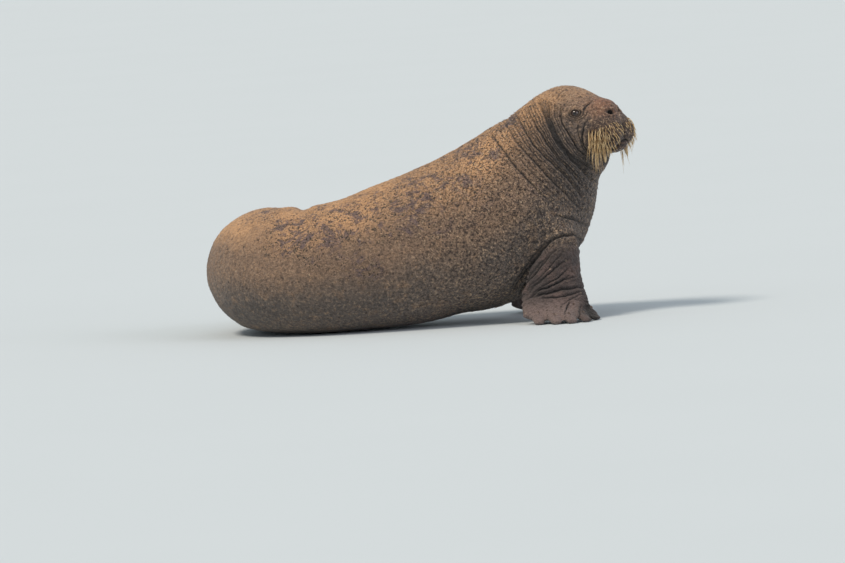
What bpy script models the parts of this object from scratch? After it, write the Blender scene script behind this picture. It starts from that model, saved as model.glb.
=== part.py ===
"""A young walrus at life size, as a still model: it lies on its belly and hip, holds its chest up on both
front flippers and looks over its right shoulder. Its form is one distance field, a smooth union of limbs
and blobs, which is meshed once and parted into named nodes by thin planar cuts."""

import math
import random

import bmesh
import bpy
import numpy as np
from mathutils import Vector

# Sizes in metres. The animal faces +X, its right side is -Y, and z = 0 is the floor.
GAP = 0.0003
FAR = 1.0

# The torso from the tail to the neck: x, y, z, half width, half height
TORSO = [
    (-0.405, 0.890, 0.085, 0.022, 0.020),
    (-0.425, 0.790, 0.105, 0.070, 0.066),
    (-0.475, 0.650, 0.150, 0.150, 0.135),
    (-0.532, 0.480, 0.200, 0.215, 0.195),
    (-0.568, 0.290, 0.245, 0.265, 0.253),
    (-0.504, 0.120, 0.247, 0.290, 0.273),
    (-0.347, 0.030, 0.252, 0.305, 0.284),
    (-0.177, 0.000, 0.285, 0.320, 0.292),
    (-0.010, 0.000, 0.328, 0.330, 0.312),
    (0.156, 0.000, 0.388, 0.335, 0.318),
    (0.326, 0.000, 0.444, 0.335, 0.341),
    (0.445, 0.000, 0.520, 0.322, 0.334),
    (0.520, 0.000, 0.612, 0.285, 0.298),
    (0.574, 0.000, 0.698, 0.240, 0.248),
    (0.611, -0.002, 0.774, 0.205, 0.211),
    (0.645, -0.006, 0.833, 0.170, 0.177),
    (0.680, -0.012, 0.878, 0.138, 0.145),
]
# How far the torso and head are turned nose down about the hip, so that belly and hands share one floor
LEAN = 4.0
HIP_X = -0.35

# The head: forward, to the animal's right, and up
HEAD_CENTRE = np.array([0.718, -0.020, 0.902])
HEAD_YAW = 40
HEAD_PITCH = 8
HEAD_ROLL = 8
EYE = (0.096, 0.104, 0.030)
EYE_WAY = (0.45, 0.88, 0.12)
EYE_RADIUS = 0.019
EYE_DEPTH = 0.013
NOSTRIL = (0.206, 0.027, 0.010)
NOSTRIL_RADII = (0.014, 0.0055, 0.0125)
TUSK_ROOT = (0.168, 0.066, -0.112)
TUSK_TIP = (0.180, 0.077, -0.194)
TUSK_RADIUS = 0.0085
MUZZLE_START = 0.130

# Whiskers: where they grow round the middle of each pad, their number and their sizes
WHISKER_SEED = 7
PAD_CENTRE = (0.165, 0.040, -0.075)
PAD_TOP = -0.028
WHISKER_ROWS = 9
WHISKER_COLUMNS = 10
WHISKER_TURNS = (-14, 122)
WHISKER_TILTS = (34, -58)
WHISKER_SHORT = 0.040
WHISKER_LONG = 0.135
WHISKER_RADIUS = 0.0016
WHISKER_STEPS = 3
WHISKER_SUNK = 0.006
WHISKER_CLEAR = 0.009
WHISKER_TO_TUSK = 0.005
LIP_HEIGHT = -0.108
LIP_HALF_WIDTH = 0.041

# A front flipper on the right side: x, y outward, z, half width fore and aft, half thickness
ARM = [
    (0.645, 0.150, 0.400, 0.090, 0.100),
    (0.690, 0.235, 0.325, 0.070, 0.085),
    (0.673, 0.262, 0.255, 0.088, 0.068),
    (0.650, 0.285, 0.174, 0.116, 0.052),
    (0.640, 0.305, 0.105, 0.138, 0.042),
    (0.645, 0.330, 0.052, 0.144, 0.034),
]
# Its finger tips: x, y outward, half width
FINGERS = [
    (0.806, 0.360, 0.034),
    (0.768, 0.428, 0.032),
    (0.706, 0.452, 0.032),
    (0.640, 0.444, 0.031),
    (0.570, 0.405, 0.031),
]
LEFT_ARM_SHIFT = -0.040

# A hind flipper: the ankle, then the five toes, the first and last the longest
ANKLE = (-0.425, 0.770, 0.082)
TOES = [0.350, 0.315, 0.295, 0.310, 0.345]
TOE_SPREAD = 8.5
HIND_LEAN = {-1: 14, 1: 22}
HIND_APART = 0.105

# Grid steps of the meshes, the triangles that they are thinned to, and the height that is laid on the floor
TORSO_STEP = 0.015
HEAD_STEP = 0.0065
HAND_STEP = 0.008
TORSO_TRIANGLES = 4200
HEAD_TRIANGLES = 3200
ARM_TRIANGLES = 1500
FEET_TRIANGLES = 1700
FLOOR_SNAP = 0.004


def unit(v):
    v = np.asarray(v, float)
    return v / np.sqrt((v * v).sum(-1, keepdims=True))


def smooth_min(a, b, k):
    h = np.clip(0.5 + 0.5 * (b - a) / k, 0.0, 1.0)
    return b * (1 - h) + a * h - k * h * (1 - h)


def smooth_max(a, b, k):
    return -smooth_min(-a, -b, k)


def spline(rows, count):
    """A Catmull-Rom curve through the rows, read at count points."""
    rows = np.asarray(rows, float)
    n = len(rows)
    padded = np.vstack([2 * rows[0] - rows[1], rows, 2 * rows[-1] - rows[-2]])
    t = np.linspace(0, n - 1, count)
    i = np.minimum(t.astype(int), n - 2)
    s = (t - i)[:, None]
    p0, p1, p2, p3 = (padded[i + j] for j in range(4))
    square = (2 * p0 - 5 * p1 + 4 * p2 - p3) * s**2
    cube = (3 * p1 - p0 - 3 * p2 + p3) * s**3
    return 0.5 * (2 * p1 + (p2 - p0) * s + square + cube)


class Limb:
    """The hull of a row of ellipsoids along a curve, whose width lies along side, or level without one."""

    def __init__(self, rows, count, side=None):
        read = spline(rows, count)
        self.centres = read[:, :3]
        along = unit(np.gradient(self.centres, axis=0))
        across = np.cross(along, (0, 0, 1)) if side is None else np.tile(side, (count, 1))
        across = unit(across - (across * along).sum(1, keepdims=True) * along)
        wide = np.maximum(read[:, 3], 0.004)
        high = np.maximum(read[:, 4], 0.004)
        frames = zip(across, along, wide, high)
        self.scales = [np.array([a / w, np.cross(a, t) / h, t / min(w, h)]).T for a, t, w, h in frames]
        reach = np.maximum(wide, high)[:, None]
        self.groups = []
        for group in np.array_split(np.arange(count), max(1, count // 8)):
            low = (self.centres - reach)[group].min(0)
            high_corner = (self.centres + reach)[group].max(0)
            self.groups.append((group, low, high_corner))

    def __call__(self, points, margin=0.12):
        best = np.full(len(points), FAR)
        for group, low, high in self.groups:
            beyond = np.maximum(np.maximum(low - points, points - high), 0)
            box = np.sqrt((beyond * beyond).sum(1)) + 0.02
            near = np.nonzero(box < margin)[0]
            best = np.minimum(best, np.where(box < margin, FAR, box))
            if not len(near):
                continue
            here = best[near]
            for i in group:
                q = points[near] - self.centres[i]
                r = q @ self.scales[i]
                reach = np.sqrt((r * r).sum(1)) + 1e-9
                here = np.minimum(here, np.sqrt((q * q).sum(1)) * (1 - 1 / reach))
            best[near] = here
        return best


def blob(q, centre, radii, power=2.0):
    q = q - np.asarray(centre, float)
    reach = (np.abs(q / np.asarray(radii, float)) ** power).sum(1) ** (1 / power) + 1e-9
    return np.sqrt((q * q).sum(1)) * (1 - 1 / reach)


def leaned(vectors):
    """Directions turned nose down by the lean."""
    turn = math.radians(LEAN)
    x, y, z = np.asarray(vectors, float).T
    return np.column_stack([x * math.cos(turn) + z * math.sin(turn), y,
                            z * math.cos(turn) - x * math.sin(turn)])


def placed(points):
    """Points of the torso and head, turned nose down about the hip."""
    hip = np.array([HIP_X, 0, 0])
    return leaned(np.asarray(points, float) - hip) + hip


def head_axes():
    yaw, pitch, roll = (math.radians(a) for a in (HEAD_YAW, HEAD_PITCH, HEAD_ROLL))
    forward = np.array([math.cos(yaw) * math.cos(pitch), -math.sin(yaw) * math.cos(pitch), math.sin(pitch)])
    level = np.array([-math.sin(yaw), -math.cos(yaw), 0.0])
    upright = np.cross(level, forward)
    right = level * math.cos(roll) - upright * math.sin(roll)
    up = upright * math.cos(roll) + level * math.sin(roll)
    return leaned([forward, right, up])


HEAD_AXES = head_axes()
HEAD_AT = placed([HEAD_CENTRE])[0]


def to_head(points):
    return (points - HEAD_AT) @ HEAD_AXES.T


def from_head(q):
    return np.asarray(q, float) @ HEAD_AXES + HEAD_AT


def head_distance(points):
    q = to_head(points)
    m = np.column_stack([q[:, 0], np.abs(q[:, 1]), q[:, 2]])
    skull = blob(q, (-0.030, 0, 0.008), (0.150, 0.120, 0.118))
    face = blob(q, (0.070, 0, -0.010), (0.125, 0.104, 0.098))
    cheek = blob(m, (0.045, 0.060, -0.060), (0.110, 0.056, 0.085))
    brow = blob(m, (0.086, 0.084, 0.022), (0.042, 0.028, 0.036))
    snout = blob(q, (0.140, 0, -0.062), (0.112, 0.090, 0.092), 2.4)
    nose = blob(q, (0.160, 0, 0.018), (0.062, 0.054, 0.050))
    pad = blob(m, (0.182, 0.046, -0.082), (0.074, 0.052, 0.064))
    chin = blob(q, (0.178, 0, -0.132), (0.068, 0.044, 0.034))
    throat = blob(q, (0.066, 0, -0.156), (0.073, 0.055, 0.071))
    joined = [(face, 0.04), (cheek, 0.05), (brow, 0.03), (snout, 0.03), (nose, 0.03), (pad, 0.025),
              (chin, 0.015), (throat, 0.03)]
    d = skull
    for piece, k in joined:
        d = smooth_min(d, piece, k)
    return d


def arm_rows(side):
    shift = 0 if side < 0 else LEFT_ARM_SHIFT
    return [(x + shift, side * y, z, w, h) for x, y, z, w, h in ARM]


def finger_rows(side):
    shift = 0 if side < 0 else LEFT_ARM_SHIFT
    for i, (x, y, wide) in enumerate(FINGERS):
        root = np.array([0.655 - 0.045 * (i - 2), 0.290, 0.052])
        tip = np.array([x, y, 0.013])
        middle = root * 0.45 + tip * 0.55 + (0, 0, 0.003)
        sections = ((root, wide, 0.032), (middle, wide * 1.1, 0.023), (tip, wide * 0.72, 0.014))
        yield [(p[0] + shift, side * p[1], p[2], w, h) for p, w, h in sections]


def shank_rows(side):
    x, y, z = ANKLE
    apart = HIND_APART * side
    return [(x + 0.5 * apart, y - 0.13, z + 0.050, 0.075, 0.075),
            (x + apart, y + 0.01, z, 0.056, 0.045),
            (x + 1.1 * apart, y + 0.08, z - 0.030, 0.058, 0.032)]


def toe_rows(side):
    ankle = np.array(ANKLE) + (HIND_APART * side, 0, 0)
    for i, length in enumerate(TOES):
        turn = math.radians(side * (HIND_LEAN[side] + (i - 2) * TOE_SPREAD))
        root = ankle + (0.016 * (i - 2) * side, 0.02, 0)
        tip = ankle + np.array([math.sin(turn), math.cos(turn), 0]) * length
        tip[2] = 0.012
        middle = (root + tip) / 2
        middle[2] = 0.040
        wide = 0.027 if i in (0, 4) else 0.023
        yield [(*root, wide, 0.034), (*middle, wide * 1.1, 0.022), (*tip, wide * 0.75, 0.012)]


def torso_rows():
    rows = np.array(TORSO)
    return np.hstack([placed(rows[:, :3]), rows[:, 3:]])


torso = Limb(torso_rows(), 90)
arms = {s: Limb(arm_rows(s), 22, side=(1, 0, 0)) for s in (-1, 1)}
fingers = {s: [Limb(rows, 14) for rows in finger_rows(s)] for s in (-1, 1)}
shanks = {s: Limb(shank_rows(s), 12) for s in (-1, 1)}
toes = {s: [Limb(rows, 16) for rows in toe_rows(s)] for s in (-1, 1)}


def union(pieces, points, k):
    d = pieces[0](points)
    for piece in pieces[1:]:
        d = smooth_min(d, piece(points), k)
    return d


def body_distance(points):
    floor = -points[:, 2]
    d = smooth_min(torso(points), head_distance(points), 0.085)
    d = smooth_max(d, floor, 0.05)
    for s in (-1, 1):
        arm = smooth_min(arms[s](points), union(fingers[s], points, 0.022), 0.03)
        d = smooth_min(d, smooth_max(arm, floor, 0.008), 0.05)
        foot = smooth_min(shanks[s](points), union(toes[s], points, 0.016), 0.02)
        d = smooth_min(d, smooth_max(foot, floor, 0.008), 0.03)
    return np.maximum(d, floor)


def gradient(distance, points, reach=0.0015):
    here = distance(points)
    slopes = [distance(points + step) - here for step in np.eye(3) * reach]
    return here, unit(np.column_stack(slopes) + 1e-12)


def grid_values(distance, axes, step):
    """The distance at each grid point, worked out in full only near the surface."""
    stride = 3
    coarse_axes = [a[::stride] for a in axes]
    coarse = np.stack(np.meshgrid(*coarse_axes, indexing="ij"), -1).reshape(-1, 3)
    values = distance(coarse).reshape([len(a) for a in coarse_axes])
    for k in range(3):
        values = values.repeat(stride, axis=k).take(range(len(axes[k])), axis=k)
    values = values.copy()
    close = np.abs(values) < stride * step * 2.0
    index = np.argwhere(close)
    points = np.column_stack([axes[k][index[:, k]] for k in range(3)])
    values[close] = distance(points)
    return values


# The six tetrahedra of a grid cell, round its long diagonal, as corners 0 to 7 with bits x, y and z
TETRAHEDRA = [(0, a, a | b, 7) for a in (1, 2, 4) for b in (1, 2, 4) if a != b]


def net(distance, low, high, step):
    """Points and triangles of the surface inside a box, from the tetrahedra of a grid that it crosses."""
    axes = [np.arange(a - 1.37 * step, b + 2 * step, step) for a, b in zip(low, high)]
    values = grid_values(distance, axes, step)
    values[values == 0] = 1e-9
    shape = np.array(values.shape)
    spots = np.array([((c & 1), (c >> 1) & 1, c >> 2) for c in range(8)])
    strides = np.array([shape[1] * shape[2], shape[2], 1])
    values = values.ravel()
    cells = np.stack(np.meshgrid(*[np.arange(n - 1) for n in shape], indexing="ij"), -1).reshape(-1, 3)
    base = cells @ strides
    held = sum((values[base + spot @ strides] < 0).astype(int) for spot in spots)
    base = base[(held > 0) & (held < 8)]
    triangles = []
    outward = []
    for corners in TETRAHEDRA:
        ids = np.column_stack([base + spots[c] @ strides for c in corners])
        inside = values[ids] < 0
        order = np.argsort(~inside, axis=1, kind="stable")
        ids = np.take_along_axis(ids, order, 1)
        count = inside.sum(1)
        one, two, three = (ids[count == n] for n in (1, 2, 3))
        for rows, pairs in (
            (one, ((0, 1), (0, 2), (0, 3))),
            (three, ((3, 0), (3, 1), (3, 2))),
            (two, ((0, 2), (0, 3), (1, 3))),
            (two, ((0, 2), (1, 3), (1, 2))),
        ):
            triangles.append(np.stack([np.sort(rows[:, pair], 1) for pair in pairs], 1))
            grid = np.stack(np.unravel_index(rows, shape), -1).astype(float)
            within = (values[rows] < 0)[..., None]
            ahead = np.where(within, 0, grid).sum(1) / (~within).sum(1)
            outward.append(ahead - np.where(within, grid, 0).sum(1) / within.sum(1))
    ends = np.concatenate(triangles)
    edges, index = np.unique(ends.reshape(-1, 2), axis=0, return_inverse=True)
    faces = index.reshape(-1, 3)
    grid = np.column_stack(np.unravel_index(edges.ravel(), shape)).reshape(-1, 2, 3)
    va, vb = values[edges[:, 0]], values[edges[:, 1]]
    t = np.clip(va / (va - vb), 0.15, 0.85)[:, None]
    spots = grid[:, 0] * (1 - t) + grid[:, 1] * t
    a, b, c = (spots[faces[:, k]] for k in range(3))
    inward = (np.cross(b - a, c - a) * np.concatenate(outward)).sum(1) < 0
    faces = np.where(inward[:, None], faces[:, ::-1], faces)
    return np.array([a[0] for a in axes]) + spots * step, faces


def boxed(distance, low, high):
    """The field cut off at a box, so that a net of it is closed."""
    middle = (np.array(low) + high) / 2
    half = (np.array(high) - low) / 2

    def cut(points):
        outside = (np.abs(points - middle) - half).max(1)
        return np.maximum(distance(points), outside)
    return cut


def mesh_object(name, points, faces):
    mesh = bpy.data.meshes.new(name)
    mesh.from_pydata([tuple(p) for p in points], [], [tuple(int(i) for i in f) for f in faces])
    obj = bpy.data.objects.new(name, mesh)
    bpy.context.scene.collection.objects.link(obj)
    return obj


def applied(obj):
    """The object's mesh with its modifiers applied; the object is removed."""
    bpy.context.view_layer.update()
    graph = bpy.context.evaluated_depsgraph_get()
    mesh = bpy.data.meshes.new_from_object(obj.evaluated_get(graph), depsgraph=graph)
    bpy.data.objects.remove(obj)
    return mesh


def field_mesh(low, high, step, triangles):
    """The body's surface in a box, thinned to a number of triangles."""
    distance = boxed(body_distance, low, high)
    points, faces = net(distance, low, high, step)
    for _ in range(2):
        d, n = gradient(distance, points)
        points -= n * np.clip(d, -step, step)[:, None]
    points[:, 2] = np.maximum(points[:, 2], 0)
    obj = mesh_object("field", points, faces)
    thin = obj.modifiers.new("Decimate", "DECIMATE")
    thin.ratio = triangles / len(faces)
    mesh = applied(obj)
    for v in mesh.vertices:
        if v.co.z < FLOOR_SNAP:
            v.co.z = 0
    return mesh


def fill_cut(bm):
    bmesh.ops.holes_fill(bm, edges=[e for e in bm.edges if e.is_boundary], sides=0)


def largest(bm):
    """Keeps only the largest closed surface."""
    left = set(bm.faces)
    groups = []
    while left:
        stack = [left.pop()]
        group = list(stack)
        while stack:
            face = stack.pop()
            for edge in face.edges:
                for other in edge.link_faces:
                    if other in left:
                        left.discard(other)
                        stack.append(other)
                        group.append(other)
        groups.append(group)
    groups.sort(key=lambda g: -abs(sum(volume_of(f) for f in g)))
    drop = [f for g in groups[1:] for f in g]
    bmesh.ops.delete(bm, geom=drop, context="FACES")
    loose = [v for v in bm.verts if not v.link_faces]
    bmesh.ops.delete(bm, geom=loose, context="VERTS")


def volume_of(face):
    first = face.verts[0].co
    rest = face.verts[1:]
    return sum(first.dot(a.co.cross(b.co)) for a, b in zip(rest, rest[1:])) / 6


def face_out(bm):
    if sum(volume_of(f) for f in bm.faces) < 0:
        bmesh.ops.reverse_faces(bm, faces=bm.faces[:])


def cut_mesh(mesh, planes, offset=GAP / 2):
    """A copy of the mesh on the side of each plane that its normal points to, closed along the cuts."""
    bm = bmesh.new()
    bm.from_mesh(mesh)
    for point, normal in planes:
        normal = Vector(normal).normalized()
        at = Vector(point) + normal * offset
        geom = bm.verts[:] + bm.edges[:] + bm.faces[:]
        bmesh.ops.bisect_plane(bm, geom=geom, dist=1e-6, plane_co=at, plane_no=normal, clear_inner=True)
        fill_cut(bm)
    bmesh.ops.triangulate(bm, faces=bm.faces[:])
    largest(bm)
    out = bpy.data.meshes.new(mesh.name)
    bm.to_mesh(out)
    bm.free()
    return out


def combined(mesh, others, operation):
    """The mesh with other closed meshes joined to it or cut from it."""
    obj = bpy.data.objects.new("base", mesh)
    bpy.context.scene.collection.objects.link(obj)
    group = bpy.data.collections.new("pieces")
    for i, other in enumerate(others):
        group.objects.link(bpy.data.objects.new(f"piece{i}", other))
    bpy.context.scene.collection.children.link(group)
    step = obj.modifiers.new("Boolean", "BOOLEAN")
    step.operation = operation
    step.operand_type = "COLLECTION"
    step.collection = group
    out = applied(obj)
    for piece in list(group.objects):
        bpy.data.objects.remove(piece)
    bpy.data.collections.remove(group)
    return cut_mesh(out, [])


def wedge(planes):
    """A block a metre about the planes' points, cut to the side their normals point to, a little large."""
    bm = bmesh.new()
    bmesh.ops.create_cube(bm, size=1.0)
    bmesh.ops.translate(bm, verts=bm.verts, vec=Vector(planes[0][0]))
    block = bpy.data.meshes.new("wedge")
    bm.to_mesh(block)
    bm.free()
    return cut_mesh(block, planes, offset=-GAP / 2)


def ellipsoid(centre, axes, radii, detail=2):
    """A closed ellipsoid whose radii lie along the rows of axes."""
    bm = bmesh.new()
    bmesh.ops.create_icosphere(bm, subdivisions=detail, radius=1.0)
    for v in bm.verts:
        v.co = Vector(centre) + Vector((np.array(v.co) * radii) @ np.asarray(axes, float))
    face_out(bm)
    mesh = bpy.data.meshes.new("ellipsoid")
    bm.to_mesh(mesh)
    bm.free()
    return mesh


def tapered_tube(path, radii, sides, start=None):
    """A closed tube along the path's points, with a point at a radius of 0."""
    path = np.asarray(path, float)
    along = unit(np.gradient(path, axis=0))
    seed = (0, 0, 1) if start is None else start
    across = unit(np.cross(along, seed))
    other = np.cross(along, across)
    points = []
    rings = []
    for p, a, b, r in zip(path, across, other, radii):
        if r == 0:
            rings.append([len(points)])
            points.append(p)
            continue
        rings.append(list(range(len(points), len(points) + sides)))
        for k in range(sides):
            turn = 2 * math.pi * k / sides
            points.append(p + (a * math.cos(turn) + b * math.sin(turn)) * r)
    faces = []
    for low, high in zip(rings, rings[1:]):
        for k in range(sides):
            n = (k + 1) % sides
            if len(high) == 1:
                faces.append((low[k], low[n], high[0]))
            else:
                faces.append((low[k], low[n], high[n], high[k]))
    faces.append(tuple(reversed(rings[0])))
    if len(rings[-1]) > 1:
        faces.append(tuple(rings[-1]))
    mesh = bpy.data.meshes.new("tube")
    mesh.from_pydata([tuple(p) for p in points], [], faces)
    bm = bmesh.new()
    bm.from_mesh(mesh)
    bmesh.ops.triangulate(bm, faces=bm.faces[:])
    face_out(bm)
    bm.to_mesh(mesh)
    bm.free()
    return mesh


def material(name, colour, roughness):
    made = bpy.data.materials.get(name)
    if made:
        return made
    made = bpy.data.materials.new(name)
    made.use_nodes = True
    shader = made.node_tree.nodes["Principled BSDF"]
    linear = [(c / 12.92 if c <= 0.04045 else ((c + 0.055) / 1.055) ** 2.4) for c in colour]
    shader.inputs["Base Color"].default_value = (*linear, 1)
    shader.inputs["Roughness"].default_value = roughness
    shader.inputs["Metallic"].default_value = 0.0
    return made


HIDE = ("hide", (0.52, 0.42, 0.33), 0.75)
DARK_HIDE = ("dark_hide", (0.36, 0.29, 0.26), 0.7)
MUZZLE_HIDE = ("muzzle_hide", (0.45, 0.31, 0.25), 0.6)
EYE_BLACK = ("eye", (0.05, 0.04, 0.035), 0.1)
IVORY = ("tusk", (0.80, 0.72, 0.55), 0.35)


def node(name, mesh, finish):
    mesh.name = name
    mesh.materials.clear()
    mesh.materials.append(material(*finish))
    mesh.shade_smooth()
    obj = bpy.data.objects.new(name, mesh)
    bpy.context.scene.collection.objects.link(obj)
    return obj


def turned(plane):
    point, normal = plane
    return point, tuple(-c for c in normal)


def head_plane(point, normal):
    return tuple(from_head(point)), tuple(np.asarray(normal, float) @ HEAD_AXES)


def torso_plane(point, normal):
    return tuple(placed([point])[0]), tuple(leaned([normal])[0])


# The planes that part the body: a point, and a normal toward the piece named first
HEAD_FROM_NECK = torso_plane((0.690, -0.015, 0.868), (0.68, -0.30, 0.67))
NECK_FROM_CHEST = torso_plane((0.560, 0.0, 0.672), (0.77, 0.0, 0.64))
CHEST_FROM_BELLY = torso_plane((0.340, 0.0, 0.450), (0.96, 0.0, 0.28))
BELLY_FROM_RUMP = torso_plane((-0.260, 0.0, 0.270), (0.985, -0.17, 0.0))
RUMP_FROM_HIPS = ((-0.550, 0.390, 0.220), (-0.10, -0.99, 0.0))
HIPS_FROM_FEET = ((-0.430, 0.800, 0.100), (0.05, -0.99, 0.10))
MUZZLE_FROM_HEAD = head_plane((MUZZLE_START, 0, 0), (1, 0, 0.12))


def arm_planes(side):
    """The wedge that holds a front flipper: below a slant, outside an inner face, ahead of the belly."""
    return [((0.66, side * 0.240, 0.255), (0.0, side * 0.60, -0.80)),
            ((0.66, side * 0.140, 0.200), (0.0, side, 0.0)),
            ((0.470, side * 0.225, 0.050), (1.0, 0.0, -0.45))]


def wrist_plane(side):
    return (0.640, side * 0.305, 0.098), (0.0, side * 0.45, -0.89)


def chin_planes():
    top = head_plane((0.20, 0, LIP_HEIGHT), (0.10, 0, -1))
    right = head_plane((0.20, LIP_HALF_WIDTH, LIP_HEIGHT), (0, -1, 0))
    left = head_plane((0.20, -LIP_HALF_WIDTH, LIP_HEIGHT), (0, 1, 0))
    return [top, right, left]


def build_torso():
    whole = field_mesh((-0.90, -0.60, 0.0), (0.95, 1.20, 1.10), TORSO_STEP, TORSO_TRIANGLES)
    chest = cut_mesh(whole, [turned(NECK_FROM_CHEST), CHEST_FROM_BELLY])
    chest = combined(chest, [wedge(arm_planes(s)) for s in (-1, 1)], "DIFFERENCE")
    node("neck", cut_mesh(whole, [NECK_FROM_CHEST, turned(HEAD_FROM_NECK)]), HIDE)
    node("chest", chest, HIDE)
    node("belly", cut_mesh(whole, [turned(CHEST_FROM_BELLY), BELLY_FROM_RUMP]), HIDE)
    node("rump", cut_mesh(whole, [turned(BELLY_FROM_RUMP), RUMP_FROM_HIPS]), HIDE)
    node("hips", cut_mesh(whole, [turned(RUMP_FROM_HIPS), turned(BELLY_FROM_RUMP), HIPS_FROM_FEET]), HIDE)


def build_front_flipper(side, name):
    low, high = (0.36, -0.60, 0.0), (0.92, -0.08, 0.42)
    if side > 0:
        low, high = (0.36, 0.08, 0.0), (0.92, 0.60, 0.42)
    whole = field_mesh(low, high, HAND_STEP, ARM_TRIANGLES)
    arm = cut_mesh(whole, arm_planes(side))
    wrist = wrist_plane(side)
    node(f"arm_{name}", cut_mesh(arm, [turned(wrist)]), DARK_HIDE)
    node(f"hand_{name}", cut_mesh(arm, [wrist]), DARK_HIDE)


def build_hind_end():
    whole = field_mesh((-0.75, 0.70, 0.0), (-0.10, 1.20, 0.25), HAND_STEP, FEET_TRIANGLES)
    feet = [turned(HIPS_FROM_FEET)]
    x = HIPS_FROM_FEET[0][0]
    right = ((x - 0.045, 0.8, 0.1), (-1.0, 0.0, 0.0))
    left = ((x + 0.055, 0.8, 0.1), (1.0, 0.0, 0.0))
    node("hind_flipper_right", cut_mesh(whole, feet + [right]), DARK_HIDE)
    node("hind_flipper_left", cut_mesh(whole, feet + [left]), DARK_HIDE)
    node("tail", cut_mesh(whole, feet + [turned(right), turned(left)]), HIDE)


def eye_way(side):
    """The way the eye looks."""
    f, r, u = EYE_WAY
    return unit(np.array([f, side * r, u]) @ HEAD_AXES)


def eye_centre(side):
    """The eyeball's centre, sunk to its depth below the surface of the head."""
    f, r, u = EYE
    spot = from_head((f, side * r, u))
    for _ in range(6):
        spot = spot - eye_way(side) * (body_distance(spot[None])[0] + EYE_DEPTH)
    return spot


def lids(side):
    """Two crescents over the eyeball, above and below the opening."""
    centre = eye_centre(side)
    out = eye_way(side)
    along = unit(np.cross(out, HEAD_AXES[2]))
    high = np.cross(along, out)
    high = high * np.sign(high @ HEAD_AXES[2])
    made = []
    for way, thick in ((1, 0.0052), (-1, 0.0042)):
        path = []
        radii = []
        for k in range(9):
            turn = math.radians(-78 + 156 * k / 8)
            rise = way * 0.55 * math.cos(turn)
            spot = unit(out * 0.75 + along * math.sin(turn) * 0.95 + high * rise)
            path.append(centre + spot * (EYE_RADIUS + thick * 0.75))
            radii.append(thick * (0.45 + 0.55 * math.cos(turn)))
        made.append(tapered_tube(path, radii, 6, start=out))
    return made


def nostril_centre(side):
    """The middle of a nostril, on the surface of the nose."""
    f, r, u = NOSTRIL
    spot = from_head((f, side * r, u))
    for _ in range(6):
        d, n = gradient(body_distance, spot[None])
        spot = spot - n[0] * d[0]
    return spot


def nostril_axes(side):
    """The nostril's depth, its width and its slanting length, as rows."""
    depth = gradient(body_distance, nostril_centre(side)[None])[1][0]
    length = unit(np.array([-0.55, side * 0.75, 0.35]) @ HEAD_AXES)
    length = unit(length - depth * (length @ depth))
    return np.array([depth, np.cross(depth, length), length])


def build_head():
    low = from_head((0, 0, 0)) - (0.34, 0.36, 0.34)
    high = from_head((0, 0, 0)) + (0.34, 0.30, 0.28)
    whole = field_mesh(tuple(low), tuple(high), HEAD_STEP, HEAD_TRIANGLES)
    whole = cut_mesh(whole, [HEAD_FROM_NECK])
    head = cut_mesh(whole, [turned(MUZZLE_FROM_HEAD)])
    sides = {-1: "left", 1: "right"}
    for side, name in sides.items():
        head = combined(head, lids(side), "UNION")
        ball = ellipsoid(eye_centre(side), HEAD_AXES, np.full(3, EYE_RADIUS), 3)
        socket = ellipsoid(eye_centre(side), HEAD_AXES, np.full(3, EYE_RADIUS + GAP), 3)
        head = combined(head, [socket], "DIFFERENCE")
        node(f"eye_{name}", ball, EYE_BLACK)
    node("head", head, HIDE)

    front = cut_mesh(whole, [MUZZLE_FROM_HEAD])
    jaw = cut_mesh(front, chin_planes())
    muzzle = combined(front, [wedge(chin_planes())], "DIFFERENCE")
    for side, name in sides.items():
        pit = ellipsoid(nostril_centre(side), nostril_axes(side), NOSTRIL_RADII, 2)
        muzzle = combined(muzzle, [pit], "DIFFERENCE")
        muzzle = combined(muzzle, [tusk(side, GAP)], "DIFFERENCE")
        node(f"tusk_{name}", tusk(side, 0), IVORY)
    muzzle = combined(muzzle, whiskers(), "UNION")
    node("muzzle", muzzle, MUZZLE_HIDE)
    node("lower_jaw", jaw, MUZZLE_HIDE)


def pad_root(side, turn, tilt):
    """The point of a whisker pad that a ray from inside it meets, and the pad's outward way there."""
    f, r, u = PAD_CENTRE
    start = from_head((f, side * r, u))
    flat = math.cos(tilt)
    way = (flat * math.cos(turn), side * flat * math.sin(turn), math.sin(tilt))
    way = unit(np.array(way) @ HEAD_AXES)
    reach = 0.0
    for _ in range(24):
        reach -= 0.7 * body_distance((start + way * reach)[None])[0]
    spot = start + way * reach
    return spot, gradient(body_distance, spot[None])[1][0]


def bears_whisker(spot, side):
    """Whether a bristle may grow here: on the pads, clear of the nostrils, the lip and the cheek."""
    f, r, u = to_head(spot)
    r *= side
    on_pad = f > MUZZLE_START + 0.020 and 0.012 < r
    low = u < LIP_HEIGHT - 0.006 and r < LIP_HALF_WIDTH + 0.022
    high = u > PAD_TOP - 0.25 * max(r - 0.05, 0)
    return on_pad and not low and not high


def whisker_path(spot, normal, length):
    """A bristle's points: out of the pad, then bending down, kept clear of the skin."""
    forward, _, up = HEAD_AXES
    lead = unit(normal + 0.25 * forward - 0.35 * up)
    path = [spot - normal * WHISKER_SUNK]
    steps = WHISKER_STEPS
    for k in range(1, steps + 1):
        t = k / steps
        point = spot + lead * length * t * (1 - 0.35 * t)
        point = point + np.array([0, 0, -0.62]) * length * t * t
        for _ in range(4):
            d, n = gradient(body_distance, point[None])
            point = point + n[0] * max(WHISKER_CLEAR * min(1.5 * t + 0.3, 1) - d[0], 0)
        path.append(point)
    return path


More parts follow.
